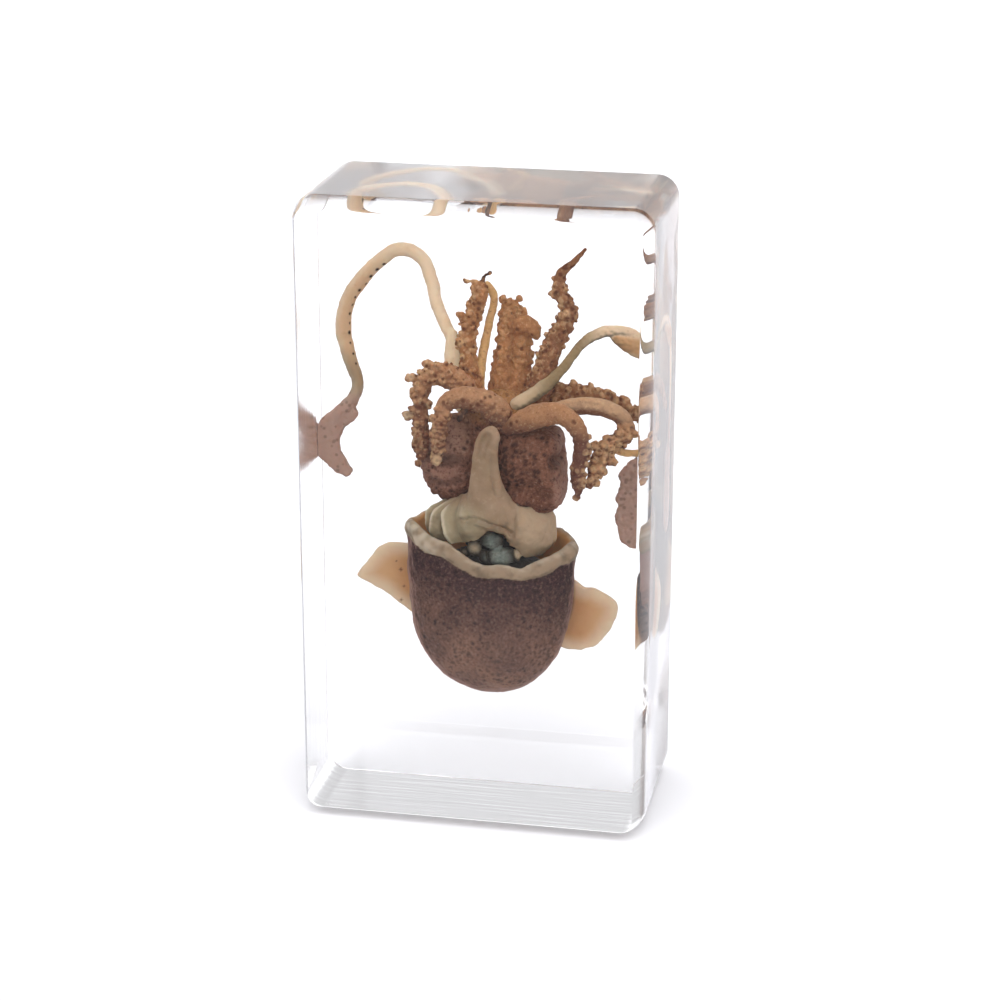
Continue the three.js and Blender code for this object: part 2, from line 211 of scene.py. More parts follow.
def wrinkle(skin, size, depth, kind="CLOUDS", where=None):
    # size and depth of the unevenness, in millimetres; where says how much of it each place gets
    texture = bpy.data.textures.new("wrinkles", kind)
    texture.noise_scale = size
    if where:
        group = skin.vertex_groups.new(name="uneven")
        for vertex in skin.data.vertices:
            group.add([vertex.index], where(vertex.co, vertex.normal), "REPLACE")
    startFresh(skin)
    applyModifier(skin, "DISPLACE", texture=texture, texture_coords="LOCAL", strength=depth, mid_level=0.5,
                  vertex_group="uneven" if where else "")
    skin.vertex_groups.clear()


def pressGroove(skin, route, width, depth):
    # a crease along the route, laid on the skin
    steps = 40
    corners = skin.data.vertices
    onSkin = fillTree([vertex.co for vertex in corners])
    spots = [onSkin.find(routePoint(route, step / steps))[0].copy() for step in range(steps + 1)]
    tree = fillTree(spots)
    normals = [vertex.normal.copy() for vertex in corners]
    for vertex, normal in zip(corners, normals):
        distance = tree.find(vertex.co)[2]
        vertex.co -= normal * depth * math.exp(-(distance / width) ** 2)
    return [(spot, width) for spot in spots]


def paint(skin, **rules):
    # stores where each stain lies, so that the material can read it
    for stain, rule in rules.items():
        shares = [rule(vertex.co, vertex.normal) for vertex in skin.data.vertices]
        layer = skin.data.attributes.new(stain, "FLOAT", "POINT")
        layer.data.foreach_set("value", shares)


def nearSpots(spots, spread=1.25):
    # 1 inside the nearest of the spots (place, radius), fading to 0 just outside it
    tree = fillTree([place for place, radius in spots])
    core = 0.6

    def share(place, normal=None):
        _, index, distance = tree.find(place)
        if index is None:
            return 0
        radius = spots[index][1]
        return 1 - ramp(radius * core, radius * spread, distance)

    return share


def spatter(skin, seed, count, small, large, where):
    # random places on the skin for spots of pigment
    triesPerSpot = 30
    draw = random.Random(seed)
    corners = skin.data.vertices
    spots = []
    for _ in range(count * triesPerSpot):
        vertex = corners[draw.randrange(len(corners))]
        if len(spots) < count and draw.random() < where(vertex.co, vertex.normal):
            spots.append((vertex.co.copy(), draw.uniform(small, large)))
    return spots


def setDown(piece, name, material, slotName, *nodes):
    startFresh(piece)
    piece.scale = (mm, mm, mm)
    bpy.ops.object.transform_apply(location=True, rotation=True, scale=True)
    bpy.ops.object.shade_smooth()
    piece.name = name
    piece.data.name = name
    piece.data.materials.clear()
    piece.data.materials.append(material)
    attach(piece, "root")
    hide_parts(*nodes)
    print(name, "has", len(piece.data.polygons), "faces")


# materials

def ink(code):
    # sRGB hex to linear
    parts = [int(code[i:i + 2], 16) / 255 for i in (1, 3, 5)]
    return [p / 12.92 if p <= 0.04045 else ((p + 0.055) / 1.055) ** 2.4 for p in parts] + [1]


def addNode(tree, kind, settings=None, links=None):
    node = tree.nodes.new("ShaderNode" + kind)
    for key, value in (settings or {}).items():
        if isinstance(key, int) or key in node.inputs:
            node.inputs[key].default_value = value
        else:
            setattr(node, key, value)
    for key, source in (links or {}).items():
        tree.links.new(source, node.inputs[key])
    return node


def newMaterial(name):
    material = bpy.data.materials.new(name)
    material.use_nodes = True
    tree = material.node_tree
    tree.nodes.clear()
    return material, tree


def clearAcrylic(name, roughness, body="#ffffff", streaks=0):
    # cast acrylic: water-clear, with a breath of blue in its depth. The front and back are polished glossy,
    # the narrow sides keep a faint haze and long fine streaks from sanding; streaks is their depth in mm
    # body greys what shows through a face; on the sanded sides and the front rim's left stretch that grey is
    # painted shade
    look = {"ior": 1.49, "tint": "#f3f6fb", "tintPerMetre": 1.6, "streakWidth": 0.9, "streakLength": 14}
    material, tree = newMaterial(name)
    shell = addNode(tree, "BsdfPrincipled", {
        "Base Color": ink(body), "Roughness": roughness, "IOR": look["ior"], "Transmission Weight": 1})
    if streaks:
        place = addNode(tree, "TexCoord").outputs["Object"]
        fine, long = 1 / (look["streakWidth"] * mm), 1 / (look["streakLength"] * mm)
        stretch = addNode(tree, "Mapping", {"Scale": (long, fine, long)}, {"Vector": place})
        lines = addNode(tree, "TexNoise", {"Scale": 1, "Detail": 3}, {"Vector": stretch.outputs[0]})
        bump = addNode(tree, "Bump", {"Strength": 1, "Distance": streaks * mm}, {
            "Height": lines.outputs["Fac"]})
        tree.links.new(bump.outputs[0], shell.inputs["Normal"])
    depth = addNode(tree, "VolumeAbsorption", {"Color": ink(look["tint"]), "Density": look["tintPerMetre"]})
    addNode(tree, "OutputMaterial", links={"Surface": shell.outputs[0], "Volume": depth.outputs[0]})
    return material


def preservedFlesh(name, look):
    # fixed animal tissue in resin: matt, softly translucent, mottled, with grains of pigment
    material, tree = newMaterial(name)
    place = addNode(tree, "TexCoord").outputs["Object"]
    patches = addNode(tree, "TexNoise", {
        "Scale": 1 / (look["patchSize"] * mm), "Detail": 4, "Roughness": 0.6}, {"Vector": place})
    patchShare = addNode(tree, "MapRange", {
        "From Min": 0.36, "From Max": 0.64}, {"Value": patches.outputs["Fac"]})
    colour = addNode(tree, "MixRGB", {"Color1": ink(look["base"]), "Color2": ink(look["patch"])}, {
        "Fac": patchShare.outputs[0]}).outputs[0]
    grains = addNode(tree, "TexNoise", {
        "Scale": 1 / (look["grainSize"] * mm), "Detail": 3, "Roughness": 0.7}, {"Vector": place})
    layers = [("stain", *stain) for stain in look["under"]]
    layers += [("grain", *grain) for grain in look["grains"]]
    layers += [("speck", *speck) for speck in look.get("specks", [])]
    layers += [("stain", *stain) for stain in look["over"]]
    for kind, code, *reach in layers:
        if kind == "grain":
            low, high, most = reach
            share = addNode(tree, "MapRange", {"From Min": low, "From Max": high, "To Max": most}, {
                "Value": grains.outputs["Fac"]}).outputs[0]
        elif kind == "speck":
            spacing, reachOut, most = reach
            cells = addNode(tree, "TexVoronoi", {"Scale": 1 / (spacing * mm)}, {"Vector": place})
            share = addNode(tree, "MapRange", {
                "From Min": reachOut, "From Max": reachOut * 0.4, "To Max": most},
                {"Value": cells.outputs["Distance"]}).outputs[0]
        else:
            share = addNode(tree, "Attribute", {"attribute_name": reach[0]}).outputs["Fac"]
        colour = addNode(tree, "MixRGB", {"Color2": ink(code)}, {
            "Fac": share, "Color1": colour}).outputs[0]
    bump = addNode(tree, "Bump", {"Strength": 0.5, "Distance": look["grainDepth"] * mm}, {
        "Height": grains.outputs["Fac"]})
    skin = addNode(tree, "BsdfPrincipled", {
        "Roughness": look["roughness"], "Specular IOR Level": 0.12, "IOR": 1.4,
        "Subsurface Weight": look["translucency"], "Subsurface Scale": look["glowDepth"] * mm,
        "Subsurface Radius": (1, 0.55, 0.35)}, {"Base Color": colour, "Normal": bump.outputs[0]})
    addNode(tree, "OutputMaterial", links={"Surface": skin.outputs[0]})
    return material


# a look's layers lie in the order under, grains, specks, over. A stain has its colour and the name it is
# painted by, a grain its colour, where the noise starts and fills it and its strength, a speck its colour,
# spacing in millimetres, reach and strength
mantleLook = {
    "base": "#66463c", "patch": "#482c28", "patchSize": 2.4, "grainSize": 0.34, "grainDepth": 0.06,
    # high is painted shade, darker up towards the overhanging lip
    "under": [("#946b55", "low"), ("#432a2b", "high")],
    "grains": [("#25140f", 0.52, 0.7, 0.7), ("#a08070", 0.46, 0.3, 0.4)],
    "specks": [("#2a1814", 0.7, 0.42, 0.42), ("#2a1814", 1.3, 0.26, 0.6)],
    # edge is painted rim light, paler where the skin turns away from the front
    "over": [("#28170f", "dots"), ("#b98f80", "edge"), ("#dcae80", "fin"), ("#cd935f", "finRoot"),
             ("#f0dab9", "finEdge"), ("#a78f75", "cream"), ("#84705a", "creamShade"),
             ("#e2d4bc", "creamLight"), ("#dca063", "inner"), ("#2c2017", "deep"), ("#7d4c3a", "finDots")],
    "roughness": 0.6, "translucency": 0.3, "glowDepth": 0.6,
}
headLook = {
    "base": "#8a5d48", "patch": "#704836", "patchSize": 2.2, "grainSize": 0.36, "grainDepth": 0.1,
    "under": [("#67402f", "low"), ("#9a745f", "haze"), ("#ab7a4c", "crown"), ("#b48a78", "blush")],
    "grains": [("#321b16", 0.53, 0.68, 0.65), ("#b08c78", 0.46, 0.31, 0.5)],
    "specks": [("#3a211b", 0.85, 0.36, 0.4)],
    "over": [("#2b1610", "pits"), ("#341b15", "crease")],
    "roughness": 0.6, "translucency": 0.25, "glowDepth": 0.5,
}
funnelLook = {
    "base": "#b2967a", "patch": "#a1866a", "patchSize": 3, "grainSize": 0.6, "grainDepth": 0.02,
    "under": [("#b0a082", "green"), ("#ddd0b4", "fold"), ("#c4aa8c", "pale")],
    "grains": [("#84694c", 0.6, 0.76, 0.35), ("#cdb698", 0.44, 0.28, 0.3)],
    "over": [("#94866a", "membrane"), ("#7c6449", "hollow"), ("#65543d", "shade"), ("#493a29", "crease")],
    "roughness": 0.5, "translucency": 0.4, "glowDepth": 0.8,
}
visceraLook = {
    "base": "#586059", "patch": "#8a9085", "patchSize": 1.4, "grainSize": 0.4, "grainDepth": 0.04,
    "under": [("#b8a283", "tan")],
    "grains": [("#443f34", 0.56, 0.72, 0.6), ("#a9b3a4", 0.44, 0.3, 0.4)],
    "over": [("#2c2017", "dark")],
    "roughness": 0.4, "translucency": 0.2, "glowDepth": 0.5,
}
armLook = {
    "base": "#bb8659", "patch": "#a26f49", "patchSize": 1.5, "grainSize": 0.34, "grainDepth": 0.08,
    "under": [("#c19472", "rosy"), ("#664138", "mauve"), ("#deb88a", "pale"), ("#e0b67c", "yellow")],
    "grains": [("#6b4130", 0.56, 0.72, 0.55), ("#e2b98c", 0.45, 0.31, 0.45)],
    "over": [("#5c3022", "dots"), ("#4b3a34", "dusk"), ("#ecd5b0", "cream")],
    "roughness": 0.6, "translucency": 0.4, "glowDepth": 0.7,
}
tentacleLook = {
    "base": "#f3dab9", "patch": "#ead0ad", "patchSize": 3, "grainSize": 0.45, "grainDepth": 0.03,
    "under": [("#ead3b0", "sheath"), ("#d8ab7c", "tan"), ("#927b57", "olive"), ("#6f6652", "grey"),
              ("#c3a08f", "club")],
    "grains": [("#b98f6c", 0.58, 0.74, 0.35)],
    "over": [("#735c50", "clubDots"), ("#3d2a22", "specks")],
    "roughness": 0.6, "translucency": 0.4, "glowDepth": 0.8,
}

polishedAcrylic = clearAcrylic("clear cast acrylic, polished", 0)
buffedAcrylic = clearAcrylic("clear cast acrylic, buffed top", 0.17, "#ffffff", 0.02)
# the sanded sides are greyed by their body colour as painted shade
sandedAcrylic = clearAcrylic("clear cast acrylic, fine sanded", 0.16, "#efeef3", 0.03)
# the buffed rim's grey body is painted shade
rimAcrylic = clearAcrylic("acrylic with a buffed rim", 0.03, "#b0b0b6")
mantleFlesh = preservedFlesh("preserved mantle skin", mantleLook)
headFlesh = preservedFlesh("preserved head skin", headLook)
funnelFlesh = preservedFlesh("preserved funnel flesh", funnelLook)
visceraFlesh = preservedFlesh("preserved organs", visceraLook)
armFlesh = preservedFlesh("preserved arm skin", armLook)
tentacleFlesh = preservedFlesh("preserved tentacle skin", tentacleLook)
print("materials are ready")


# the clear block

block = {
    "width": 40, "depth": 21, "height": 72.5, "corner": 2.5, "cornerSteps": 14, "rimSteps": 18,
    # the rim of each face: side, size across, how many times further back it goes, profile (0.5 is round)
    "rims": [(-1, 1.1, 3.4, 0.36), (1, 0.08, 1, 0.5)],
    "upright": 0.05,  # a narrow side's normal leans to the front or back by less than this
    "turned": 0.7,  # and the top's normal, or the left rim's, points up or left by more than this
}


def makeBlock():
    startFresh()
    bpy.ops.mesh.primitive_cube_add(size=1, location=(0, 0, block["height"] / 2))
    cast = bpy.context.object
    cast.scale = (block["width"], block["depth"], block["height"])
    bpy.ops.object.transform_apply(location=True, rotation=True, scale=True)
    bpy.ops.object.mode_set(mode="EDIT")
    bpy.ops.mesh.select_mode(type="EDGE")
    mesh = bmesh.from_edit_mesh(cast.data)
    for edge in mesh.edges:  # the four edges that run from front to back
        edge.select = abs(edge.verts[0].co.y - edge.verts[1].co.y) > block["depth"] / 2
    bmesh.update_edit_mesh(cast.data)
    bpy.ops.mesh.bevel(offset=block["corner"], segments=block["cornerSteps"])
    onFace = block["depth"] / 2 - 1e-3
    for face, size, stretch, profile in block["rims"]:  # each is cut on a squashed block, then stretched
        bpy.ops.mesh.select_all(action="SELECT")
        bpy.ops.transform.resize(value=(1, 1 / stretch, 1), center_override=(0, 0, 0))
        mesh = bmesh.from_edit_mesh(cast.data)
        for edge in mesh.edges:
            edge.select = all(vertex.co.y * face * stretch > onFace for vertex in edge.verts)
        bmesh.update_edit_mesh(cast.data)
        bpy.ops.mesh.bevel(offset=size, segments=block["rimSteps"], profile=profile)
        bpy.ops.mesh.select_all(action="SELECT")
        bpy.ops.transform.resize(value=(1, stretch, 1), center_override=(0, 0, 0))
    bpy.ops.object.mode_set(mode="OBJECT")
    setDown(cast, "clear_block", polishedAcrylic, "acrylic", "block_front", "block_back")
    for material in (buffedAcrylic, sandedAcrylic, rimAcrylic):
        cast.data.materials.append(material)
    for face in cast.data.polygons:
        across, back, up = face.normal
        if abs(back) < block["upright"]:  # the narrow sides: the top is buffed, the others are sanded
            face.material_index = 1 if up > block["turned"] else 2
        # the left stretch of the front rim is greyed as painted shade
        elif back < 0 and across < -block["turned"]:  # the left stretch of the front rim
            face.material_index = 3
    applyModifier(cast, "WEIGHTED_NORMAL", weight=100)  # keeps the flat faces optically flat beside the rims


makeBlock()


# the mantle bag and its fins

mantle = {
    "centre": (1.1, 1.5), "bottom": 13.9, "shoulder": 24, "rim": 32.6, "halfWidth": 9.3, "halfDepth": 6,
    "frontDip": 1.7, "backRise": 2.2, "tiltToRight": 0.045, "creamFrom": 30.85,
    "leftRise": 1.5, "rightRise": 0.6, "rightSag": 0.35, "rimWave": 0.42,
    # the wall above the shoulder, as radius and height, up over the lip and down inside
    "wall": [(9.42, 25.6), (9.58, 27.4), (9.68, 29), (9.72, 30.4), (9.74, 31), (10, 31.25), (10.12, 31.7),
             (10.05, 32.25), (9.7, 32.7), (9.2, 32.8), (8.75, 32.5), (8.45, 31.8), (8.3, 30.5), (8.1, 28.8),
             (7.4, 27.4), (5, 26.7), (2.5, 26.5), (0, 26.5)],
    "wallHalf": (9.6, 6.2), "innerFloor": (25.9, 26.4),
    "bowlSteps": 8, "turnSteps": 72, "voxel": 0.17, "softness": 2,
    "wrinkles": [(4, 0.5), (1.2, 0.16), (0.4, 0.07)],
    "finDepth": 5.4, "finThick": 0.9, "finSoft": 0.28,
    "leftFin": [(-5.2, 30.2), (-7.6, 30.5), (-9.4, 30.5), (-11.4, 30.4), (-12.7, 29.7), (-14, 28),
                (-15.3, 26.1), (-14, 25.4), (-12.2, 24.6), (-10.4, 23.2), (-8.4, 21.9), (-5.2, 20.6)],
    "rightFin": [(7.4, 28.4), (9.4, 28), (10.6, 27.4), (11.5, 26.65), (12.4, 26.75), (14, 26), (15.1, 25.2),
                 (15.4, 24.4), (15.2, 23.2), (14.7, 22), (14, 20.7), (13, 19.5), (11.3, 18.8), (9.6, 18.9),
                 (8, 19.4), (6.6, 20)],
    # spots as seed, count, smallest and largest radius
    "freckles": (3, 420, 0.1, 0.22), "finSpots": (4, 40, 0.12, 0.22),
}


def mantleLift(x, y, z):
    # how far the rim is raised at the back and lowered at the front
    c = max(-1.2, min(1.2, (y - mantle["centre"][1]) / mantle["halfDepth"]))
    across = x - mantle["centre"][0]
    reach = mantle["frontDip"] if c < 0 else mantle["backRise"]
    sides = mantle["leftRise"] * ramp(0, -5, across) * (1 - 0.4 * ramp(-0.2, 0.4, c))
    sides += mantle["rightRise"] * ramp(6, 9, across)
    sides -= mantle["rightSag"] * math.exp(-((across - 4.2) / 2.4) ** 2) * ramp(0.2, -0.2, c)
    share = ramp(mantle["shoulder"], mantle["rim"], z)
    return share * (c * abs(c) * reach + sides - mantle["tiltToRight"] * across)


def edgeDistance(outline, x, z):
    # how far a point of the fin lies from the fin's free edge
    best = 99
    for (ax, az), (bx, bz) in zip(outline, outline[1:]):
        run = ((x - ax) * (bx - ax) + (z - az) * (bz - az)) / ((bx - ax) ** 2 + (bz - az) ** 2)
        run = max(0, min(1, run))
        best = min(best, math.hypot(x - ax - run * (bx - ax), z - az - run * (bz - az)))
    return best


frontward = Vector((0.19, -0.93, 0.32))  # towards the studio's viewpoint; it follows no camera


def makeMantle():
    low = mantle["shoulder"] - mantle["bottom"]
    profile = []
    for step in range(mantle["bowlSteps"] + 1):
        angle = math.radians(-90 + step * 90 / mantle["bowlSteps"])
        profile.append((mantle["halfWidth"] * math.cos(angle), mantle["shoulder"] + low * math.sin(angle)))
    profile += mantle["wall"]
    startFresh()
    bpy.ops.mesh.primitive_plane_add(size=1)
    bag = bpy.context.object
    bpy.ops.object.mode_set(mode="EDIT")
    bpy.ops.mesh.select_mode(type="VERT")
    bpy.ops.mesh.select_all(action="SELECT")
    bpy.ops.mesh.merge(type="CENTER")
    bpy.ops.transform.translate(value=(profile[0][0], 0, profile[0][1]))
    for here, there in zip(profile, profile[1:]):
        step = (there[0] - here[0], 0, there[1] - here[1])
        bpy.ops.mesh.extrude_vertices_move(TRANSFORM_OT_translate={"value": step})
    bpy.ops.mesh.select_all(action="SELECT")
    bpy.ops.mesh.spin(steps=mantle["turnSteps"], angle=2 * math.pi, center=(0, 0, 0), axis=(0, 0, 1))
    bpy.ops.mesh.select_all(action="SELECT")
    bpy.ops.mesh.remove_doubles(threshold=0.01)
    bpy.ops.mesh.normals_make_consistent(inside=False)
    bpy.ops.object.mode_set(mode="OBJECT")
    applyModifier(bag, "SUBSURF", levels=2, render_levels=2)
    for vertex in bag.data.vertices:  # flattened, slanted at the rim and a little lopsided
        x, y, z = vertex.co
        x += mantle["centre"][0] - 0.35 * ramp(26, 19, z) * ramp(0, 9, x)
        y = mantle["centre"][1] + y * mantle["halfDepth"] / mantle["halfWidth"]
        wave = noise.noise(Vector((x * 0.35, y * 0.35, 4)))
        wave += 0.3 * noise.noise(Vector((x * 0.9, y * 0.9, 7)))
        vertex.co = (x, y, z + mantleLift(x, y, z) + mantle["rimWave"] * wave * ramp(29.5, 31.5, z))
    fins = [addPlate(mantle[side], mantle["finDepth"], mantle["finThick"], mantle["finSoft"])
            for side in ("leftFin", "rightFin")]
    skin = fuseSkin([bag] + fins, mantle["voxel"], mantle["softness"])
    for size, depth in mantle["wrinkles"]:
        wrinkle(skin, size, depth)

    def bagShare(place):
        # 1 at the bag's outer wall, less inside it, more outside
        x = (place.x - mantle["centre"][0]) / mantle["wallHalf"][0]
        y = (place.y - mantle["centre"][1]) / mantle["wallHalf"][1]
        return math.hypot(x, y)

    def flatHeight(place):
        # the height with the rim's slant taken out
        return place.z - mantleLift(place.x, place.y, place.z)

    def finShare(place, normal=None):
        rightRoot = 10.2 - 1.6 * ramp(25, 18.5, place.z)
        beyond = max(-8.4 - place.x, place.x - rightRoot)
        below = 1 - ramp(29, 31, flatHeight(place))
        return ramp(-0.1, 0.5, beyond) * below * ramp(3.2, 4.2, place.y)

    def finEdge(place, normal):
        outline = mantle["leftFin"] if place.x < 0 else mantle["rightFin"]
        return 0.85 * finShare(place) * ramp(2.2, 0, edgeDistance(outline, place.x, place.z))

    def creamShare(place, normal=None):
        ragged = 0.3 * noise.noise(place * 0.6) + 0.12 * noise.noise(place * 2)
        return ramp(-0.1, 0.1, flatHeight(place) - mantle["creamFrom"] + ragged)

    def innerShare(place, normal):
        rearward = 0.07 * ramp(-1, 3, place.y)
        inside = 1 - ramp(0.84 + rearward, 0.93 + rearward, bagShare(place))
        return inside * ramp(*mantle["innerFloor"], flatHeight(place))

    def deepShare(place, normal):
        # painted shade in the depth of the bag
        height = flatHeight(place)
        within = ramp(31.4, 30.4, height) * ramp(0.84, 0.7, bagShare(place))
        return within * ramp(*mantle["innerFloor"], height)

    def edgeShare(place, normal):
        # painted rim light: the skin is painted paler where it turns away from the front
        return 0.65 * ramp(0.5, 0.1, abs(normal.dot(frontward))) * (1 - creamShare(place))

    def dotShare(place, normal):
        # freckles lie thicker on the right flank
        share = 0.25 + 0.75 * (ramp(2, 7, place.x) * ramp(17, 20, place.z))
        share *= 1 - creamShare(place)
        share *= 1 - finShare(place)
        return share * ramp(1, -1, place.y)

    def finSpotShare(place, normal):
        return finShare(place) * ramp(-12, -10, place.x) * ramp(0, -2, place.x)

    def lowShare(place, normal):
        # paler towards the tip and on the left flank
        left = 0.45 * ramp(0, -7, place.x) * ramp(31, 27, place.z)
        return max(ramp(27, 18, place.z), left) * (0.62 + 0.55 * noise.noise(place * 0.3))

    def creamShade(place, normal):
        # darker blotches on the lip, with painted shade where it faces down
        blotch = noise.noise(place * 0.9) + 0.4 * noise.noise(place * 2.5) + 0.5 * ramp(0.1, -0.6, normal.z)
        return creamShare(place) * ramp(-0.1, 0.7, blotch)

    def creamLight(place, normal):
        # painted highlight along the lip's top; the lip is also paler in blotches to the left
        blotch = ramp(-0.5, 0.5, noise.noise(place * 1.1))
        return creamShare(place) * max(0.7 * ramp(-2, -6.5, place.x) * blotch,
                                       0.5 * ramp(0.25, 0.8, normal.z) * (0.4 + 0.6 * blotch))

    freckles = nearSpots(spatter(skin, *mantle["freckles"], dotShare))
    finSpots = nearSpots(spatter(skin, *mantle["finSpots"], finSpotShare))
    paint(skin, low=lowShare, edge=edgeShare, fin=finShare, finEdge=finEdge, finDots=finSpots,
          cream=creamShare, creamShade=creamShade, creamLight=creamLight, inner=innerShare, deep=deepShare,
          # high: painted shade under the lip
          high=lambda place, normal: 0.8 * ramp(25, 30, flatHeight(place)),
          finRoot=lambda place, normal: 0.8 * finShare(place) * ramp(13, 9.6, abs(place.x - 0.9)),
          dots=lambda place, normal: 0.6 * freckles(place))
    setDown(skin, "mantle_skin", mantleFlesh, "mantle_skin", "mantle")


makeMantle()


# the organs in the mantle's mouth

viscera = {
    "voxel": 0.13, "softness": 1, "wrinkles": [(1, 0.3), (0.4, 0.1)],
    # lumps as centre, half sizes and lean
    "green": [((1.8, -2.5, 33.4), (1.3, 0.9, 0.85), 12), ((2.9, -3, 31.7), (1.6, 0.9, 0.85), -8),
              ((1.1, -2.6, 31.4), (0.75, 0.7, 0.7), 20)],
    "tan": [((-0.2, -2.3, 32.4), (0.75, 0.7, 1), 12), ((-1.3, -2, 31.7), (0.6, 0.6, 0.65), -15),
            ((4.7, -2.2, 32), (0.5, 0.6, 1), 25)],
    # the floor lumps are a backing painted dark as shade
    "floor": [((1.4, 0.2, 29.6), (6.7, 3.5, 2.1), 0), ((1.9, 0.3, 32.4), (3.6, 1.1, 1.8), 0)],
}


def makeViscera():
    lumps = [addBrick(*lump) for lump in viscera["green"] + viscera["tan"]]
    lumps += [addBall(*lump) for lump in viscera["floor"]]
    skin = fuseSkin(lumps, viscera["voxel"], viscera["softness"])
    bpy.ops.object.mode_set(mode="EDIT")  # a crumb that the remesh leaves between two lumps is taken out
    bpy.ops.mesh.select_all(action="DESELECT")
    mesh = bmesh.from_edit_mesh(skin.data)
    min(mesh.faces, key=lambda face: face.calc_center_median().z).select_set(True)
    bpy.ops.mesh.select_linked()
    bpy.ops.mesh.select_all(action="INVERT")
    bpy.ops.mesh.delete(type="VERT")
    bpy.ops.object.mode_set(mode="OBJECT")
    for size, depth in viscera["wrinkles"]:
        wrinkle(skin, size, depth)
    tanSpots = [(at, max(half)) for at, half, lean in viscera["tan"]]
    onLumps = nearSpots([(at, max(half) * 0.9) for at, half, lean in viscera["tan"] + viscera["green"]])
    # dark is painted shade between and behind the organ lumps
    paint(skin, tan=nearSpots(tanSpots), dark=lambda place, normal: 0.9 * (1 - onLumps(place)))
    setDown(skin, "viscera_lumps", visceraFlesh, "viscera", "viscera")


makeViscera()


# the head: two eye lobes, a neck and the crown that the arms rise from

head = {
    "voxel": 0.18,
    "balls": [((-3, 0.9, 42.2), (3.7, 4.1, 5.2), 8), ((1.4, 1.8, 41.8), (5, 4.2, 6), 0),
              ((2.6, 1.2, 47.2), (4.6, 3.3, 3.3), 0), ((1.4, 2, 36), (6, 3.6, 4.4), 0),
              ((-3.8, 0.2, 39.6), (1.9, 2.6, 2.2), 0), ((6.5, -0.6, 38.4), (3, 2.8, 1.9), 0)],
    "bricks": [((5.9, 0.7, 41.6), (3.8, 4.2, 4.9), -3)],
    "wrinkles": [(2.2, 0.6), (0.8, 0.24)], "pebbles": (0.65, -0.45), "grain": (0.4, 0.12),
    # creases as route, width and depth
    "creases": [([(2.4, -4, 39.8), (4.2, -4.2, 40.1), (6.2, -4.1, 40), (8.4, -3, 39.4)], 0.45, 0.8),
                ([(3.2, -4, 37.4), (5.4, -3.6, 36.9), (7.6, -2.8, 36.8)], 0.35, 0.6),
                ([(10, 1.6, 43.3), (9.8, -0.4, 43.2), (9, -2.6, 43)], 0.8, 1.2),
                ([(-6.6, -1, 43.4), (-4.6, -3, 42.6), (-2.2, -4, 42.8)], 0.7, 0.35),
                ([(-5.8, -1.5, 40.2), (-4, -2.8, 39.6), (-1.8, -3.4, 40)], 0.45, 0.35)],
    "pitCentre": (4, -3.4, 42), "pitReach": 2.8, "pits": (8, 150, 0.12, 0.3),  # seed, count, radii
}


def makeHead():
    parts = [addBall(*ball) for ball in head["balls"]] + [addBrick(*brick) for brick in head["bricks"]]
    skin = fuseSkin(parts, head["voxel"], 3)
    creases = []
    for route, width, depth in head["creases"]:
        creases += pressGroove(skin, route, width, depth)
    for size, depth in head["wrinkles"]:
        wrinkle(skin, size, depth)

    def leftCheek(place, normal):
        return ramp(-3.6, -5, place.x) * ramp(44, 42, place.z)

    wrinkle(skin, *head["pebbles"], "VORONOI", leftCheek)
    wrinkle(skin, *head["grain"])
    pitCentre = Vector(head["pitCentre"])

    def pitShare(place, normal):
        away = (place - pitCentre).length
        near = 1 - 0.92 * ramp(head["pitReach"] * 0.6, head["pitReach"] * 1.4, away)
        return near * ramp(0, -2, place.y) * ramp(47, 45, place.z)

    def blush(place, normal):
        # the right edge and the left lobe are rosy
        right = 0.7 * ramp(8.2, 9.6, place.x)
        return right + 0.45 * ramp(-0.5, -3, place.x) * ramp(38, 40, place.z)

    pits = nearSpots(spatter(skin, *head["pits"], pitShare), 1.4)
    folds = nearSpots(creases, 1.5)
    paint(skin, blush=blush,
          haze=lambda place, normal: 0.8 * ramp(41.5, 45, place.z) * ramp(0, -1.5, place.x),
          crown=lambda place, normal: ramp(46, 48.5, place.z),
          pits=lambda place, normal: 0.75 * pits(place),
          low=lambda place, normal: 0.7 * ramp(40.5, 38, place.z),
          # crease is painted shade along the pressed creases
          crease=lambda place, normal: 0.5 * folds(place))
    setDown(skin, "head_skin", headFlesh, "head_skin", "head")


makeHead()


# the funnel and the collar folds round the neck

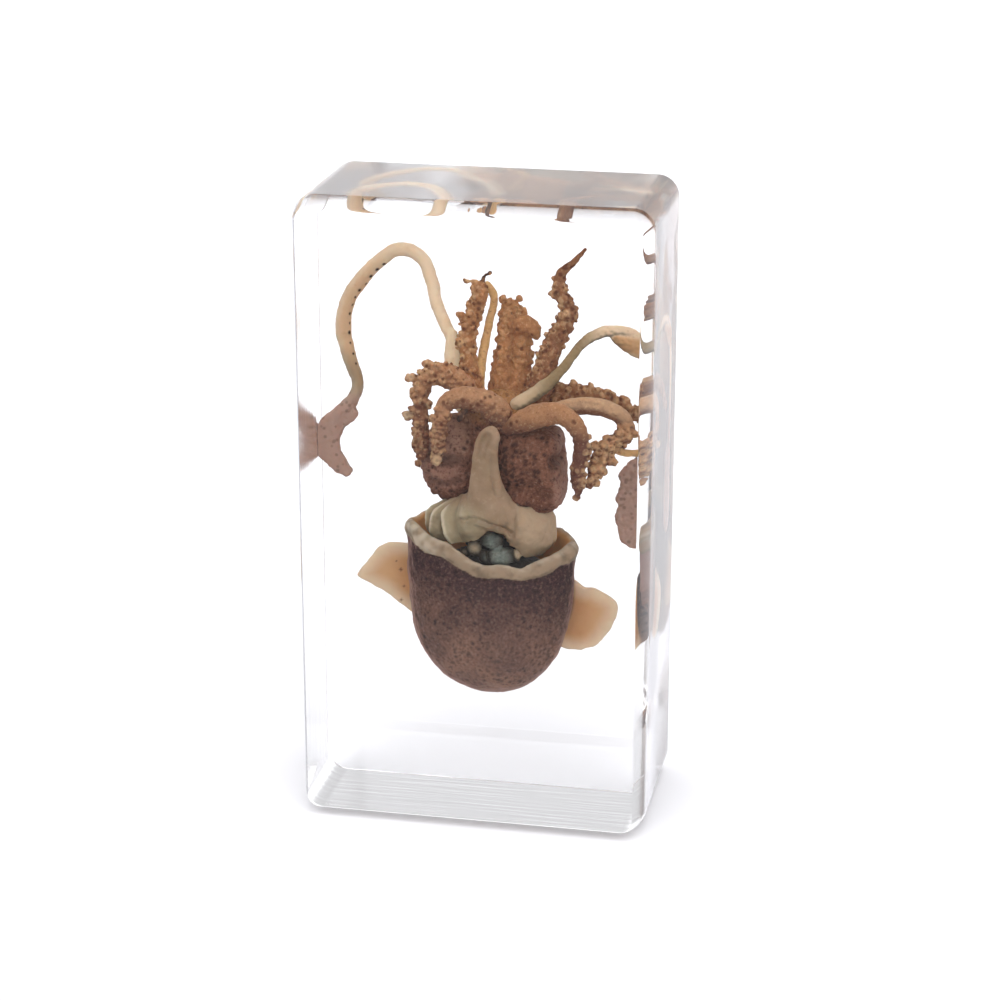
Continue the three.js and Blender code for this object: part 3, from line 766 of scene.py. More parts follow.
funnel = {
    "voxel": 0.13, "softness": 3, "flat": 0.6, "wrinkles": [(3, 0.4), (1, 0.16)],
    "tube": [(1.5, -2.6, 37), (1.5, -3.6, 38.6), (1.3, -4.5, 41.2), (1.4, -5.1, 43.8), (1.7, -5.5, 45.6),
             (2.3, -5.6, 46.9)],
    "tubeRadii": [3.5, 2.5, 1.75, 1.45, 1.3, 0.95],
    "ridge": [(2.9, -5, 39.4), (2.5, -5.6, 42.6), (2.5, -6, 44.6)], "ridgeRadii": [0.4, 0.45, 0.4],
    "mouth": [(0.8, -6.2, 44.2), (1.1, -6.4, 45.2), (1.6, -6.3, 46.2)], "mouthGroove": (0.55, 0.7),
    "lip": ((2.65, -5.9, 46), (0.55, 0.5, 0.9), 20),
}
collar = {
    "centre": (1.4, 1.2), "half": (6.5, 5.2), "from": -176, "to": -4, "steps": (150, 32), "thick": 0.7,
    "leanIn": 2, "leanInRight": 0.2,
    # along the sheet from left to right: share, lower edge, upper edge, bulge
    "edges": [(0, 33.4, 37.2, 0), (0.12, 32.6, 38, 0.2), (0.24, 32.6, 38.4, 0.2), (0.34, 33, 38.6, 0),
              (0.42, 33.4, 39, 0), (0.52, 34.8, 39, 0), (0.6, 34.4, 38.6, 0), (0.66, 33, 37.8, 0.3),
              (0.76, 31.6, 37.6, 0.6), (0.9, 31.6, 37.6, 0.6), (1, 32.4, 37.4, 0.3)],
    # folds as share, width, height and lean
    "folds": [(0.07, 0.018, 1, 0.05), (0.12, 0.014, -0.9, 0.06), (0.165, 0.02, 1, 0.08),
              (0.215, 0.014, -0.9, 0.05), (0.26, 0.02, 0.9, -0.06), (0.31, 0.014, -0.5, -0.06),
              (0.37, 0.03, 0.4, -0.1), (0.66, 0.014, -0.55, 0.02), (0.97, 0.02, 0.4, 0)],
    "crease": [(-2, -4.6, 35.7), (-1, -4.6, 36), (0, -4.6, 36.1), (1, -4.6, 35.8), (2.5, -4.6, 35.2),
               (4.3, -4.4, 34.4)],
    "creaseGroove": (0.3, 0.55),
}


def edgeAt(share):
    # the collar's lower edge, upper edge and bulge at a share of its length
    edges = collar["edges"]
    for here, there in zip(edges, edges[1:]):
        if share <= there[0] + 1e-6:
            t = ramp(here[0], there[0], share)
            return [a + (b - a) * t for a, b in zip(here[1:], there[1:])]


def foldRise(share, height):
    rise = 0
    for place, width, most, lean in collar["folds"]:
        rise += most * math.exp(-((share - place - lean * (height - 0.5)) / width) ** 2)
    return rise * ramp(1, 0.7, height)


def addCollar():
    # a sheet wrapped round the neck, thickened and folded
    across, up = collar["steps"]
    startFresh()
    bpy.ops.mesh.primitive_grid_add(x_subdivisions=across, y_subdivisions=up, size=1)
    sheet = bpy.context.object
    for vertex in sheet.data.vertices:
        share, height = vertex.co.x + 0.5, vertex.co.y + 0.5
        low, high, bulge = edgeAt(share)
        turn = math.radians(collar["from"] + (collar["to"] - collar["from"]) * share)
        lean = collar["leanIn"] + (collar["leanInRight"] - collar["leanIn"]) * ramp(0.62, 0.72, share)
        out = bulge * math.sin(math.pi * height) - lean * ramp(0.55, 1, height)
        out -= 0.5 * ramp(0.25, 0, height)
        out += foldRise(share, height)
        x = collar["centre"][0] + (collar["half"][0] + out) * math.cos(turn)
        y = collar["centre"][1] + (collar["half"][1] + out) * math.sin(turn)
        vertex.co = (x, y, low + (high - low) * height)
    applyModifier(sheet, "SOLIDIFY", thickness=collar["thick"], offset=0)
    return sheet


def collarFold(place):
    # how far the collar stands out in a fold at this place, below 0 in a valley
    x = (place.x - collar["centre"][0]) / collar["half"][0]
    y = (place.y - collar["centre"][1]) / collar["half"][1]
    share = (math.degrees(math.atan2(y, x)) - collar["from"]) / (collar["to"] - collar["from"])
    share = min(1, max(0, share))
    low, high, bulge = edgeAt(share)
    return foldRise(share, (place.z - low) / (high - low)) * ramp(0.7, 0.85, math.hypot(x, y))


def makeFunnel():
    parts = [addTube(funnel["tube"], funnel["tubeRadii"], funnel["flat"])]
    parts.append(addTube(funnel["ridge"], funnel["ridgeRadii"]))
    parts.append(addBall(*funnel["lip"]))
    parts.append(addCollar())
    skin = fuseSkin(parts, funnel["voxel"], funnel["softness"])
    pressGroove(skin, funnel["mouth"], *funnel["mouthGroove"])
    crease = nearSpots(pressGroove(skin, collar["crease"], *collar["creaseGroove"]), 1.4)
    for size, depth in funnel["wrinkles"]:
        wrinkle(skin, size, depth)
    inMouth = nearSpots([(routePoint(funnel["mouth"], step / 10), 0.6) for step in range(11)], 1.7)

    def membrane(place, normal):
        # a thin greenish sheet hangs below the funnel
        middle = 0.6 * ramp(2.6, 0.6, place.x) * ramp(-3.2, -2, place.x)
        return middle * ramp(36.2, 35.4, place.z + 0.25 * max(0, place.x))

    def shade(place, normal):
        # dark in the valleys between the folds and under the collar
        under = 0.6 * ramp(0.2, -0.7, normal.z) * ramp(37, 35.4, place.z)
        return max(0.8 * ramp(-0.2, -0.9, collarFold(place)), under)

    paint(skin, membrane=membrane, shade=shade,
          green=lambda place, normal: ramp(3, -1.5, place.x) * ramp(38.6, 36.4, place.z),
          # fold is a painted highlight on the ridges of the collar's folds
          fold=lambda place, normal: 0.9 * ramp(0.2, 0.7, collarFold(place)),
          pale=lambda place, normal: 0.7 * ramp(3.5, 6, place.x) * ramp(39, 37, place.z),
          # hollow is painted shade in the funnel's mouth
          hollow=lambda place, normal: 0.7 * inMouth(place),
          # crease is painted shade along the collar's crease
          crease=lambda place, normal: 0.65 * crease(place))
    setDown(skin, "funnel_flesh", funnelFlesh, "funnel_flesh", "funnel")


makeFunnel()


# the eight arms

# knobs are large suckers as place, radius and, where one faces the front, "ring"; spurs are thin strands
# as route, radii and stain
arms = {
    "arm_left_upright": {
        "route": [(-0.2, 1.2, 47.6), (-1.2, 1.8, 52), (-1.7, 2.4, 55), (-1.2, 2.8, 57.8), (-0.4, 3, 60.2),
                  (-0.2, 3, 62)],
        "radii": [1.2, 1.05, 0.95, 0.9, 0.85, 0.65],
        "suckers": {"count": 14, "from": 0.2, "to": 0.95, "side": (-0.9, -0.5, 0), "size": 0.36},
        "finish": {"grain": 0.5, "dots": 90, "warts": 60},
        "knobs": [((-2.3, 2.3, 58.3), 0.55), ((-2.4, 1.6, 55.4), 0.5)],
        "spurs": [([(-0.2, 3, 61.8), (0.2, 3, 62.8), (0.9, 3, 63.4)], [0.3, 0.22, 0.14], "dusk"),
                  ([(-0.3, 3, 62), (-1.2, 2.9, 62.3), (-2.1, 2.8, 62.4)], [0.35, 0.3, 0.26], "pale"),
                  ([(-0.4, 1.4, 49), (-0.3, 2.4, 51.4), (0.05, 3.3, 54.4), (0.75, 3.8, 58),
                    (1.15, 3.9, 60.6), (0.4, 3.5, 62)], [0.8, 0.62, 0.52, 0.48, 0.46, 0.42], "yellow")],
    },
    "arm_middle": {
        "route": [(3.1, 3.2, 47.6), (3.1, 4, 52), (3.3, 4.5, 55), (3.1, 4.8, 57.6), (3, 4.9, 59.4)],
        "radii": [2.7, 2.3, 2, 1.55, 1.15], "flat": 0.6,
        "suckers": {"count": 26, "from": 0.3, "to": 0.98, "side": (0.5, -0.8, 0.2), "size": 0.3,
                    "spread": 2.2},
        "finish": {"grain": 0.24, "dots": 22, "warts": 110, "pale": 0.2},
        "knobs": [((2, 4.4, 60.2), 0.5), ((3.9, 4.6, 60.3), 0.42), ((2.9, 4.3, 60), 0.45)],
        "spurs": [([(3.6, 4, 57.4), (5.2, 3.7, 57.4), (6.1, 3.6, 56.4)], [1.1, 0.95, 0.6], None)],
        "seam": [(3.5, 3.7, 59.2), (3.2, 3.3, 56.6), (3.3, 3, 53.6), (3.1, 2.6, 50.6)],
    },
    "arm_right_upright": {
        "route": [(5.6, 1.2, 48), (7, 2, 52.2), (7.8, 2.6, 55), (9, 2.9, 57.6), (9.8, 3, 59.6),
                  (8.7, 3.2, 61.6), (8.7, 3.4, 63.4), (10, 3.5, 64.8), (11.4, 3.6, 66.4)],
        "radii": [1.5, 1.3, 1.15, 1, 0.85, 0.75, 0.6, 0.38, 0.18],
        "suckers": {"count": 18, "from": 0.1, "to": 0.68, "side": (-0.8, -0.6, 0), "size": 0.38},
        "finish": {"grain": 0.5, "grainBelow": 62.6, "dots": 110, "warts": 80, "wartsTo": 0.74,
                   "mauve": (0.45, 80, 70)},
        "knobs": [((7.9, 2.9, 61.2), 0.5)],
        "spurs": [],
    },
    "arm_left_curl": {
        "route": [(-0.6, -0.4, 48.8), (-3.1, -1, 51.9), (-4.9, -1.3, 52.2), (-6.1, -1.6, 51.2),
                  (-6.4, -2, 49.4), (-6.3, -2.5, 46.8), (-6.2, -2.8, 44.8), (-6.2, -3, 42.8)],
        "radii": [1.5, 1.35, 1.15, 1, 0.9, 0.85, 0.8, 0.6],
        "suckers": {"count": 18, "from": 0.2, "to": 0.95, "side": (-0.9, -0.4, 0.2), "size": 0.36},
        "finish": {"grain": 0.46, "dots": 60, "warts": 80, "mauve": (0.5, 51, 48.5), "rosy": 0.45},
        "knobs": [((-7.5, -2.1, 51.8), 0.53, "ring"), ((-7.9, -2.4, 47.4), 0.53, "ring"),
                  ((-5.9, -1.3, 53.4), 0.5), ((-3.8, -0.9, 53.2), 0.5), ((-5.4, -2.3, 48.8), 0.5),
                  ((-6.6, -3, 42), 0.5)],
        "spurs": [],
    },
    "arm_front_left": {
        "route": [(2.6, -1.4, 47.4), (1.8, -2.8, 49.2), (0, -3.5, 50), (-2, -3.9, 50.1), (-3.4, -4.3, 49),
                  (-3.7, -4.7, 46.8), (-3.9, -5, 44.6), (-4.1, -5, 42.8)],
        "radii": [1.6, 1.5, 1.35, 1.2, 0.95, 0.8, 0.7, 0.45],
        "suckers": {"count": 9, "from": 0.6, "to": 0.97, "side": (-0.9, -0.3, 0), "size": 0.34},
        "finish": {"grain": 0.42, "grainBelow": 48.6, "dots": 34, "warts": 40, "wartsFrom": 0.6,
                   "rosy": 0.6, "ripples": 17, "mauve": (0.35, 48.6, 46)},
        "knobs": [((-4.05, -5.5, 43), 0.6, "ring"), ((-4.7, -4.3, 47.6), 0.5)],
        "spurs": [([(-1.1, -3.3, 48.8), (-1.5, -3.5, 48.1), (-1.8, -3.6, 47.5)], [0.4, 0.36, 0.4], "dusk")],
    },
    "arm_front_right": {
        "route": [(3.2, -2.4, 46.4), (5.6, -3, 47.8), (8, -3.7, 48.8), (9.8, -4.1, 48.9), (11.4, -4.3, 47.7),
                  (12, -4.3, 46), (11.8, -4.2, 43.8), (11.6, -4.1, 41.8), (11.7, -4, 40.2)],
        "radii": [0.7, 1.35, 1.35, 1.2, 1.05, 0.88, 0.8, 0.78, 0.6],
        "suckers": {"count": 9, "from": 0.6, "to": 0.93, "side": (0.9, -0.3, 0), "size": 0.36},
        "finish": {"grain": 0.3, "grainBelow": 41.5, "dots": 12, "warts": 12, "wartsFrom": 0.8,
                   "rosy": 0.4, "ripples": 17, "mauve": (0.85, 48.8, 45.8)},
        "knobs": [((11.45, -4, 39.35), 0.45), ((12.8, -4, 45), 0.6)],
        "spurs": [],
    },
    "arm_right_hooked": {
        "route": [(6, 0, 47.2), (8.8, -0.5, 48.6), (10.6, -0.6, 49.2), (12.6, -0.6, 49.4), (14.9, -0.6, 49),
                  (16.4, -0.6, 47.9), (16.5, -0.8, 46.4), (15, -1, 45.4), (13.9, -1.2, 44.1),
                  (13.3, -1.4, 42.4), (12.7, -1.6, 40.4)],
        "radii": [1.1, 1, 1, 1.02, 1, 0.95, 0.9, 0.85, 0.8, 0.7, 0.55],
        "suckers": {"count": 22, "from": 0.58, "to": 0.98, "side": (0.7, -0.7, 0), "size": 0.42,
                    "spread": 2},
        "finish": {"grain": 0.4, "grainBelow": 47.5, "dots": 40, "dotsBelow": 46, "warts": 60,
                   # glow is the height from which the painted highlight starts
                   "wartsFrom": 0.55, "rosy": 0.45, "glow": 47},
        "knobs": [((15.4, -1.2, 43.2), 0.55), ((13.2, -2, 45.2), 0.6), ((14.2, -1.6, 42.2), 0.55),
                  ((15, -1.2, 44.4), 0.5)],
        "spurs": [([(9.4, -1, 49.3), (11.6, -1.1, 50), (13.9, -1.1, 49.8), (16, -1, 48.7)],
                   [0.35, 0.42, 0.42, 0.35], None),
                  ([(14.8, -0.8, 45), (16.4, -0.2, 44.2), (18.2, 0.2, 44.2)], [0.5, 0.45, 0.4], "yellow"),
                  ([(13.6, -1.3, 43.6), (14.6, -1.3, 43.3), (15.4, -1.2, 43.2)], [0.4, 0.35, 0.35], None)],
    },
    "arm_right_rear": {
        "route": [(5.4, 3.4, 47.2), (8.6, 3.9, 49.5), (11.2, 4, 50), (13.8, 4.2, 49.4), (16, 4.5, 48.4),
                  (17.9, 4.8, 47)],
        "radii": [1.2, 1, 0.88, 0.8, 0.7, 0.6],
        "suckers": {"count": 18, "from": 0.2, "to": 0.95, "side": (0, -0.5, 0.9), "size": 0.36},
        "finish": {"grain": 0.45, "dots": 60, "warts": 60, "mauve": (0.3, 80, 70)},
        "knobs": [((8.4, 3.6, 50.8), 0.42), ((10.2, 3.6, 51.2), 0.45)],
        "spurs": [],
    },
}


def makeSucker():
    # a little cup on a round stalk, modelled once and copied
    startFresh()
    bpy.ops.mesh.primitive_uv_sphere_add(segments=14, ring_count=10, radius=1)
    cup = bpy.context.object
    bpy.ops.object.mode_set(mode="EDIT")
    bpy.ops.mesh.select_mode(type="FACE")
    mesh = bmesh.from_edit_mesh(cup.data)
    for face in mesh.faces:
        face.select = face.normal.z > 0.72
    bmesh.update_edit_mesh(cup.data)
    bpy.ops.mesh.inset(thickness=0.16)
    bpy.ops.transform.translate(value=(0, 0, -0.45))
    bpy.ops.object.mode_set(mode="OBJECT")
    return cup


def copySucker(cup, place, outward, radius):
    copy = cup.copy()
    copy.data = cup.data.copy()
    bpy.context.collection.objects.link(copy)
    turn = Vector(outward).to_track_quat("Z", "Y").to_matrix().to_4x4()
    copy.matrix_world = Matrix.Translation(place) @ turn @ Matrix.Scale(radius, 4)
    return copy


def ripple(skin, route, count, depth):
    # shallow rings across a smooth arm
    steps = 160
    tree = fillTree([routePoint(route, step / steps) for step in range(steps + 1)])
    normals = [vertex.normal.copy() for vertex in skin.data.vertices]
    for vertex, normal in zip(skin.data.vertices, normals):
        step = tree.find(vertex.co)[1]
        wave = 2 * math.pi * count * step / steps + 2 * noise.noise(vertex.co * 0.8)
        vertex.co += normal * depth * math.sin(wave)


# what all arms share; sizes in millimetres, proud is the share of its radius by which a sucker stands out
armSkin = {
    "voxel": 0.12, "softness": 1, "suckerProud": 0.25, "suckerVary": (0.75, 1.2),
    "swing": 0.5, "swingVary": 0.2,
    "wartProud": 0.1, "wartSize": (0.16, 0.3), "dotSize": (0.12, 0.27), "rippleDepth": 0.04,
    "seamWidth": 0.26, "seamDepth": 0.5, "seamMark": 0.22, "seamMarks": 22,
    "pebble": 0.75, "lumps": (0.9, 0.34), "grains": (0.32, 0.16),
}


def makeArm(name, arm, cup, seed):
    draw = random.Random(seed)
    route, radii, rows, finish = arm["route"], arm["radii"], arm["suckers"], arm["finish"]
    flat = arm.get("flat", 1)
    parts = [addTube(route, radii, flat)]

    def growSucker(share, swing, radius, proud):
        along = routeWay(route, share)
        side = Vector(rows["side"])
        out = side - along * along.dot(side)
        out = (Matrix.Rotation(swing, 3, along) @ out).normalized()
        reach = routeRadius(radii, share) + radius * proud
        place = routePoint(route, share) + Vector((out.x, out.y * flat, out.z)) * reach
        parts.append(copySucker(cup, place, out, radius))
        return place, radius

    spots = []
    for index in range(rows["count"]):
        share = rows["from"] + (rows["to"] - rows["from"]) * index / (rows["count"] - 1)
        swing = (index % 3 - 1) * armSkin["swing"] * rows.get("spread", 1)
        swing += draw.uniform(-armSkin["swingVary"], armSkin["swingVary"])
        radius = rows["size"] * draw.uniform(*armSkin["suckerVary"])
        spots.append(growSucker(share, swing, radius, armSkin["suckerProud"]))
    warts = []
    for _ in range(finish["warts"]):  # smaller grains all round
        share = draw.uniform(finish.get("wartsFrom", 0.15), finish.get("wartsTo", 0.98))
        swing = draw.uniform(-3.1, 3.1)
        radius = draw.uniform(*armSkin["wartSize"])
        warts.append(growSucker(share, swing, radius, armSkin["wartProud"]))
    rings = []
    for place, radius, *shape in arm["knobs"]:
        place = Vector(place)
        if shape:  # a ring sucker that faces the front
            towards = frontward
            rings.append((place + frontward * radius * 0.7, radius * 1.2))
        else:
            towards = place - min((routePoint(route, step / 60) for step in range(61)),
                                  key=lambda spot: (spot - place).length)
        parts.append(copySucker(cup, place, towards + Vector((0, -0.3, 0)), radius))
        spots.append((place, radius))
    stains = {"pale": [], "yellow": [], "dusk": []}
    for spur, spurRadii, stain in arm["spurs"]:
        parts.append(addTube(spur, spurRadii))
        if stain:  # from a little way up its root
            for step in range(6, 49):
                share = step / 48
                stains[stain].append((routePoint(spur, share), routeRadius(spurRadii, share) * 1.3))
    skin = fuseSkin(parts, armSkin["voxel"], armSkin["softness"])
    onYellow = nearSpots(stains["yellow"])

    def granular(place, normal):
        share = 1 - 0.85 * onYellow(place)
        if "grainBelow" in finish:
            share *= 0.25 + 0.75 * ramp(finish["grainBelow"] + 1, finish["grainBelow"] - 1, place.z)
        return share

    if "seam" in arm:
        # the seam's groove is painted dusk as shade in the crack
        seam = pressGroove(skin, arm["seam"], armSkin["seamWidth"], armSkin["seamDepth"])
        stains["dusk"] += [(spot, armSkin["seamMark"]) for spot, width in seam[:armSkin["seamMarks"]]]
    if "ripples" in finish:
        ripple(skin, route, finish["ripples"], armSkin["rippleDepth"])
    wrinkle(skin, armSkin["pebble"], -finish["grain"], "VORONOI", granular)
    wrinkle(skin, *armSkin["lumps"], "CLOUDS", granular)
    wrinkle(skin, *armSkin["grains"], "CLOUDS", granular)

    def dotShare(place, normal):
        below = ramp(finish.get("dotsBelow", 99) + 1, finish.get("dotsBelow", 99), place.z)
        return below * (1 - onYellow(place)) * ramp(0.6, -0.2, normal.y)

    paleSpots = nearSpots([(place, radius * 1.1) for place, radius in spots] + stains["pale"])
    wartSpots = nearSpots([(place, radius * 1.2) for place, radius in warts])
    dots = nearSpots(spatter(skin, seed, finish["dots"], *armSkin["dotSize"], dotShare), 1.5)
    ringHoles = nearSpots([(place, radius * 0.32) for place, radius in rings])
    onRings = nearSpots(rings)
    mauveShare, mauveFrom, mauveFull = finish.get("mauve", (0, 1, 0))
    rosy = finish.get("rosy", 0)

    def pale(place, normal):
        return finish.get("pale", 0.6) * max(paleSpots(place), 0.6 * wartSpots(place))

    def dotted(place, normal):
        return max(0.75 * dots(place) * (1 - onYellow(place)), 0.6 * ringHoles(place))

    def mauve(place, normal):
        # mauve towards the tip, and painted shade under a rosy arm where it faces down
        under = 1.5 * rosy * ramp(0.35, -0.3, normal.z) * (1 - mauveShare)
        return mauveShare * ramp(mauveFrom, mauveFull, place.z) + under

    def cream(place, normal):
        # ring suckers are paler, and the smooth upper stretch of an arm has a painted highlight where it
        # faces up
        glow = 0
        if "glow" in finish:
            glow = ramp(finish["glow"], finish["glow"] + 2, place.z) * ramp(-0.5, 0.2, normal.z)
        return max(0.25 * glow, 0.3 * onRings(place))

    paint(skin, pale=pale, dots=dotted, mauve=mauve, cream=cream)
    for stain in ("yellow", "dusk"):
        if stains[stain]:
            marks = nearSpots(stains[stain])
            paint(skin, **{stain: lambda place, normal: 0.9 * marks(place)})
    if rosy:
        paint(skin, rosy=lambda place, normal: rosy)
    setDown(skin, name + "_skin", armFlesh, "arm_skin", name)


def makeArms():
    cup = makeSucker()
    for seed, (name, arm) in enumerate(arms.items()):
        makeArm(name, arm, cup, seed + 11)
    bpy.data.objects.remove(cup)


makeArms()


# the two feeding tentacles

leftTentacle = {
    "route": [(-2.2, 2.6, 47.6), (-3, 3.2, 52.2), (-3.5, 3.7, 55.2), (-4.6, 4.3, 57.2), (-5.5, 4.8, 59.3),
              (-6.15, 5.3, 61.9), (-7.3, 5.9, 64.1), (-9.6, 6.5, 64.9), (-12.1, 7, 63.6), (-14.4, 7.4, 61.2),
              (-16.1, 7.7, 58.6), (-16.75, 7.8, 55.2), (-16, 7.8, 51.6), (-15.2, 7.8, 48.6),
              (-15.9, 7.9, 46.8), (-17.4, 8, 45), (-18.2, 8, 43)],
    "radii": [0.9, 0.8, 0.75, 0.72, 0.72, 0.75, 0.78, 0.78, 0.8, 0.84, 0.9, 0.93, 0.82, 0.7, 0.75, 0.9, 0.8],
    "sheath": [(-2.5, 2.2, 49.8), (-3, 2.6, 52.6), (-3.3, 3, 54.6), (-3.5, 3.4, 56.4)],
    "sheathRadii": [1, 1.2, 1.1, 0.5], "sheathFlat": 0.6,
    "club": [(-16.3, 46.8), (-17.1, 45.7), (-18, 45.5), (-18.9, 44.9), (-19.5, 44.5), (-20.3, 43),
             (-20.4, 41.5), (-20.3, 40), (-18.8, 38.9), (-17.9, 38), (-16.6, 37.4), (-16, 38.2),
             (-16.7, 39.2), (-17.4, 40.5), (-17.5, 41.4), (-17.35, 42.6), (-16.8, 43.6), (-15.9, 44.2),
             (-15.1, 45.1)],
    "clubDepth": 8.1, "clubThick": 1.5, "clubSoft": 0.35, "wall": -19.94,
    "voxel": 0.11, "softness": 2, "wrinkles": (1.6, 0.22), "clubWrinkles": (0.6, 0.3), "grain": (0.4, 0.06),
    "speckSeed": 5, "specks": 13, "specksFrom": 0.5, "specksTo": 0.76, "speckSize": (0.13, 0.24),
    "clubSpots": (6, 90, 0.1, 0.24),  # seed, count, smallest and largest radius
}
rightTentacle = {
    "route": [(2.6, -0.6, 47.4), (4.4, -0.9, 49.2), (6.3, -0.4, 50.4), (8, 0.3, 51.8), (9.3, 1.2, 53.2),
              (10.3, 2.4, 54.6), (11.5, 4.2, 56), (12.9, 5.4, 56.7), (14.4, 6.2, 56.9), (15.9, 6.8, 56.6),
              (17.2, 7.2, 55.6), (18.2, 7.5, 52), (18.3, 7.6, 47), (17.9, 7.6, 43), (17.2, 7.5, 40)],
    "radii": [0.3, 0.75, 0.82, 0.72, 0.56, 0.54, 0.6, 0.64, 0.66, 0.7, 0.72, 0.7, 0.65, 0.8, 0.9],
    "flat": 0.7,
    "flap": [(14.2, 5.9, 56.2), (15.8, 6.5, 55.4), (18.4, 7, 54.7)],
    "flapRadii": [0.3, 0.95, 1.25], "flapFlat": 0.3,
    "club": [(17.6, 42.4), (16.6, 41.8), (15.7, 40.9), (15, 40), (15.3, 38.8), (14.8, 37.2), (15, 36),
             (14.6, 34.6), (15.1, 33.4), (15.5, 32), (16.4, 31.3), (17.7, 31.2), (18.7, 33), (18.9, 37),
             (18.7, 40.6)],
    "clubDepth": 7.6, "clubThick": 1.4, "clubSoft": 0.3,
    "voxel": 0.12, "softness": 2, "wrinkles": (1.6, 0.3), "clubWrinkles": (0.7, 0.5), "grain": (0.4, 0.08),
    "clubSpots": (7, 160, 0.1, 0.26),
}


def growTentacle(tentacle, parts, clubShare):
    # fuses the stalk and what hangs on it with the flat club, then wrinkles the skin
    club = addPlate(tentacle["club"], tentacle["clubDepth"], tentacle["clubThick"], tentacle["clubSoft"])
    skin = fuseSkin(parts + [club], tentacle["voxel"], tentacle["softness"])
    wrinkle(skin, *tentacle["wrinkles"])
    wrinkle(skin, *tentacle["clubWrinkles"], "CLOUDS", clubShare)
    wrinkle(skin, *tentacle["grain"])
    return skin


def makeLeftTentacle():
    tentacle = leftTentacle
    route, sheath = tentacle["route"], tentacle["sheath"]

    def clubShare(place, normal=None):
        return ramp(49, 46, place.z) * ramp(-13, -14, place.x)

    parts = [addTube(route, tentacle["radii"])]
    parts.append(addTube(sheath, tentacle["sheathRadii"], tentacle["sheathFlat"]))
    skin = growTentacle(tentacle, parts, clubShare)
    paint(skin, sheath=nearSpots([(routePoint(sheath, step / 12), 1.15) for step in range(13)]))
    for vertex in skin.data.vertices:  # the club lies against the block's side
        vertex.co.x = max(vertex.co.x, tentacle["wall"])
    draw = random.Random(tentacle["speckSeed"])
    specks = []
    for index in range(tentacle["specks"]):  # a row of dark specks along the inside of the bend
        run = tentacle["specksTo"] - tentacle["specksFrom"]
        share = tentacle["specksFrom"] + run * index / (tentacle["specks"] - 1)
        inward = routeWay(route, share).cross(Vector((0, 1, 0))).normalized()
        out = (inward + Vector((0, -1, 0)) * draw.uniform(0.5, 1)).normalized()
        place = routePoint(route, share) + out * routeRadius(tentacle["radii"], share)
        specks.append((place, draw.uniform(*tentacle["speckSize"])))
    clubSpots = nearSpots(spatter(skin, *tentacle["clubSpots"], clubShare))

    def tan(place, normal):
        return 0.6 * ramp(-11, -14.5, place.x) * ramp(46, 50, place.z) * ramp(-0.9, 0.1, normal.x)

    paint(skin, specks=nearSpots(specks, 1.4), tan=tan, club=clubShare,
          clubDots=lambda place, normal: 0.5 * clubSpots(place),
          grey=lambda place, normal: 0.5 * ramp(54, 50, place.z) * ramp(-13, -14, place.x))
    setDown(skin, "tentacle_left_skin", tentacleFlesh, "tentacle_skin", "tentacle_left")


def makeRightTentacle():
    tentacle = rightTentacle
    flap, flapRadii = tentacle["flap"], tentacle["flapRadii"]

    def clubShare(place, normal=None):
        return ramp(50, 45, place.z) * ramp(13.4, 14, place.x)

    parts = [addTube(tentacle["route"], tentacle["radii"], tentacle["flat"])]
    parts.append(addTube(flap, flapRadii, tentacle["flapFlat"]))
    skin = growTentacle(tentacle, parts, clubShare)
    onFlap = [(routePoint(flap, step / 12), routeRadius(flapRadii, step / 12)) for step in range(2, 13)]
    clubSpots = nearSpots(spatter(skin, *tentacle["clubSpots"], clubShare))

    def olive(place, normal):
        # the stalk is olive where it leaves the arms
        return ramp(14, 10.5, place.x) * (0.95 - 0.55 * ramp(8.5, 5, place.x))

    paint(skin, tan=nearSpots(onFlap), club=clubShare, olive=olive,
          clubDots=lambda place, normal: 0.5 * clubSpots(place),
          # on the right stalk grey is painted shade on its downward faces
          grey=lambda place, normal: 0.85 * ramp(0.1, -0.5, normal.z) * ramp(18, 14, place.x))
    setDown(skin, "tentacle_right_skin", tentacleFlesh, "tentacle_skin", "tentacle_right")


makeLeftTentacle()
makeRightTentacle()


# floor, light and camera

studio = {
    "floorSize": 6, "floorGap": 0.05 * mm, "floorColour": "#eaeaec", "frontColour": "#8c8c8e",
    "fadeFrom": -0.03, "fadeTo": -0.11, "tint": "#fbfbfd",
    "bounces": 24, "glossyBounces": 12,  # light crosses the block's walls many times
    # the dome's strength by height: a bright sweep at the horizon, a dimmer gap, then a soft box overhead
    # and one in front
    "sweep": 1.35, "sweepTop": (0.28, 0.4), "gap": 0.57, "overhead": 1, "overheadFrom": (0.5, 0.95),
    "front": 1.8, "frontAt": (0.1, -0.76, 0.64), "frontReach": (0.5, 0.95),
}
view = {
    "azimuth": 11.5533, "elevation": 19.0193, "distance": 0.2999, "target": (0.003748, -0.0105, 0.040036),
    "focalPixels": 2735.14, "imagePixels": 1000, "sensor": 36, "clipStart": 0.01,
}


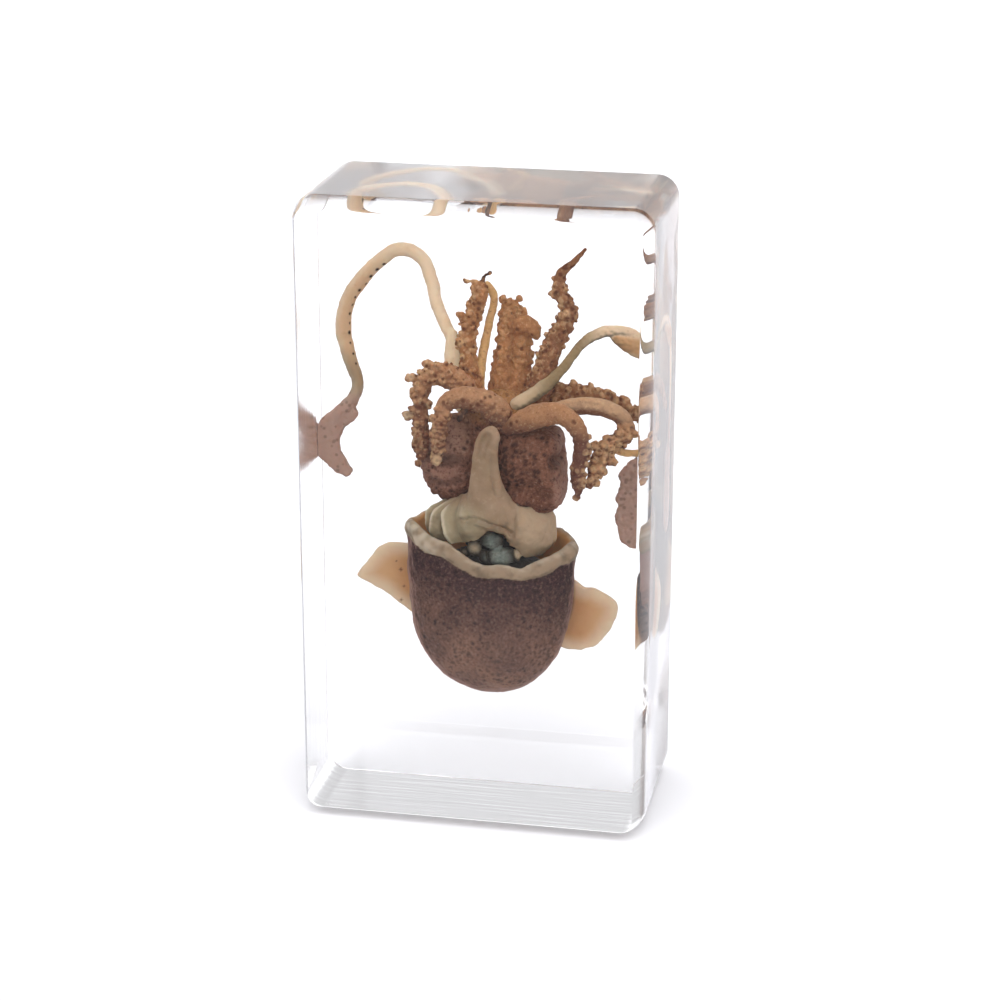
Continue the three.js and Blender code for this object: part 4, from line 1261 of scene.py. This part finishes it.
def makeFloor():
    startFresh()
    bpy.ops.mesh.primitive_plane_add(size=studio["floorSize"], location=(0, 0, -studio["floorGap"]))
    floor = bpy.context.object
    floor.name = "studio_floor"
    material, tree = newMaterial("pale matt floor")
    place = addNode(tree, "TexCoord").outputs["Object"]
    depth = addNode(tree, "SeparateXYZ", links={"Vector": place})
    fade = addNode(tree, "MapRange", {
        "interpolation_type": "SMOOTHSTEP", "From Min": studio["fadeFrom"], "From Max": studio["fadeTo"]}, {
        "Value": depth.outputs["Y"]})
    colour = addNode(tree, "MixRGB", {
        "Color1": ink(studio["floorColour"]), "Color2": ink(studio["frontColour"])}, {
        "Fac": fade.outputs[0]})  # paler round the block than in front, which keeps its face clear
    card = addNode(tree, "BsdfPrincipled", {"Roughness": 0.9, "Specular IOR Level": 0}, {
        "Base Color": colour.outputs[0]})
    addNode(tree, "OutputMaterial", links={"Surface": card.outputs[0]})
    floor.data.materials.append(material)


def makeLight():
    # one soft dome with a soft box overhead and one in front
    world = bpy.data.worlds.new("soft studio")
    bpy.context.scene.world = world
    world.use_nodes = True
    tree = world.node_tree
    tree.nodes.clear()
    place = addNode(tree, "TexCoord").outputs["Generated"]
    height = addNode(tree, "SeparateXYZ", links={"Vector": place}).outputs["Z"]
    facing = addNode(tree, "VectorMath", {"operation": "DOT_PRODUCT", 1: studio["frontAt"]}, {0: place})
    parts = [
        (height, studio["sweepTop"], studio["sweep"], studio["gap"]),
        (height, studio["overheadFrom"], 0, studio["overhead"]),
        (facing.outputs["Value"], studio["frontReach"], 0, studio["front"]),
    ]
    total = None
    for source, (low, high), start, end in parts:
        share = addNode(tree, "MapRange", {
            "interpolation_type": "SMOOTHSTEP", "From Min": low, "From Max": high,
            "To Min": start, "To Max": end}, {"Value": source}).outputs[0]
        if total:
            share = addNode(tree, "Math", {"operation": "ADD"}, {0: total, 1: share}).outputs[0]
        total = share
    dome = addNode(tree, "Background", {"Color": ink(studio["tint"])}, {"Strength": total})
    addNode(tree, "OutputWorld", links={"Surface": dome.outputs[0]})


def makeCamera():
    turn, tilt = math.radians(view["azimuth"]), math.radians(view["elevation"])
    away = Vector((math.sin(turn) * math.cos(tilt), -math.cos(turn) * math.cos(tilt), math.sin(tilt)))
    bpy.ops.object.camera_add(location=Vector(view["target"]) + away * view["distance"])
    camera = bpy.context.object
    camera.rotation_euler = away.to_track_quat("Z", "Y").to_euler()
    camera.data.sensor_width = view["sensor"]
    camera.data.lens = view["focalPixels"] * view["sensor"] / view["imagePixels"]
    camera.data.clip_start = view["clipStart"]
    bpy.context.scene.camera = camera


makeFloor()
makeLight()
makeCamera()
scene = bpy.context.scene
scene.view_settings.view_transform = "Standard"
scene.cycles.max_bounces = studio["bounces"]
scene.cycles.transmission_bounces = studio["bounces"]
scene.cycles.glossy_bounces = studio["glossyBounces"]
print("studio is ready")
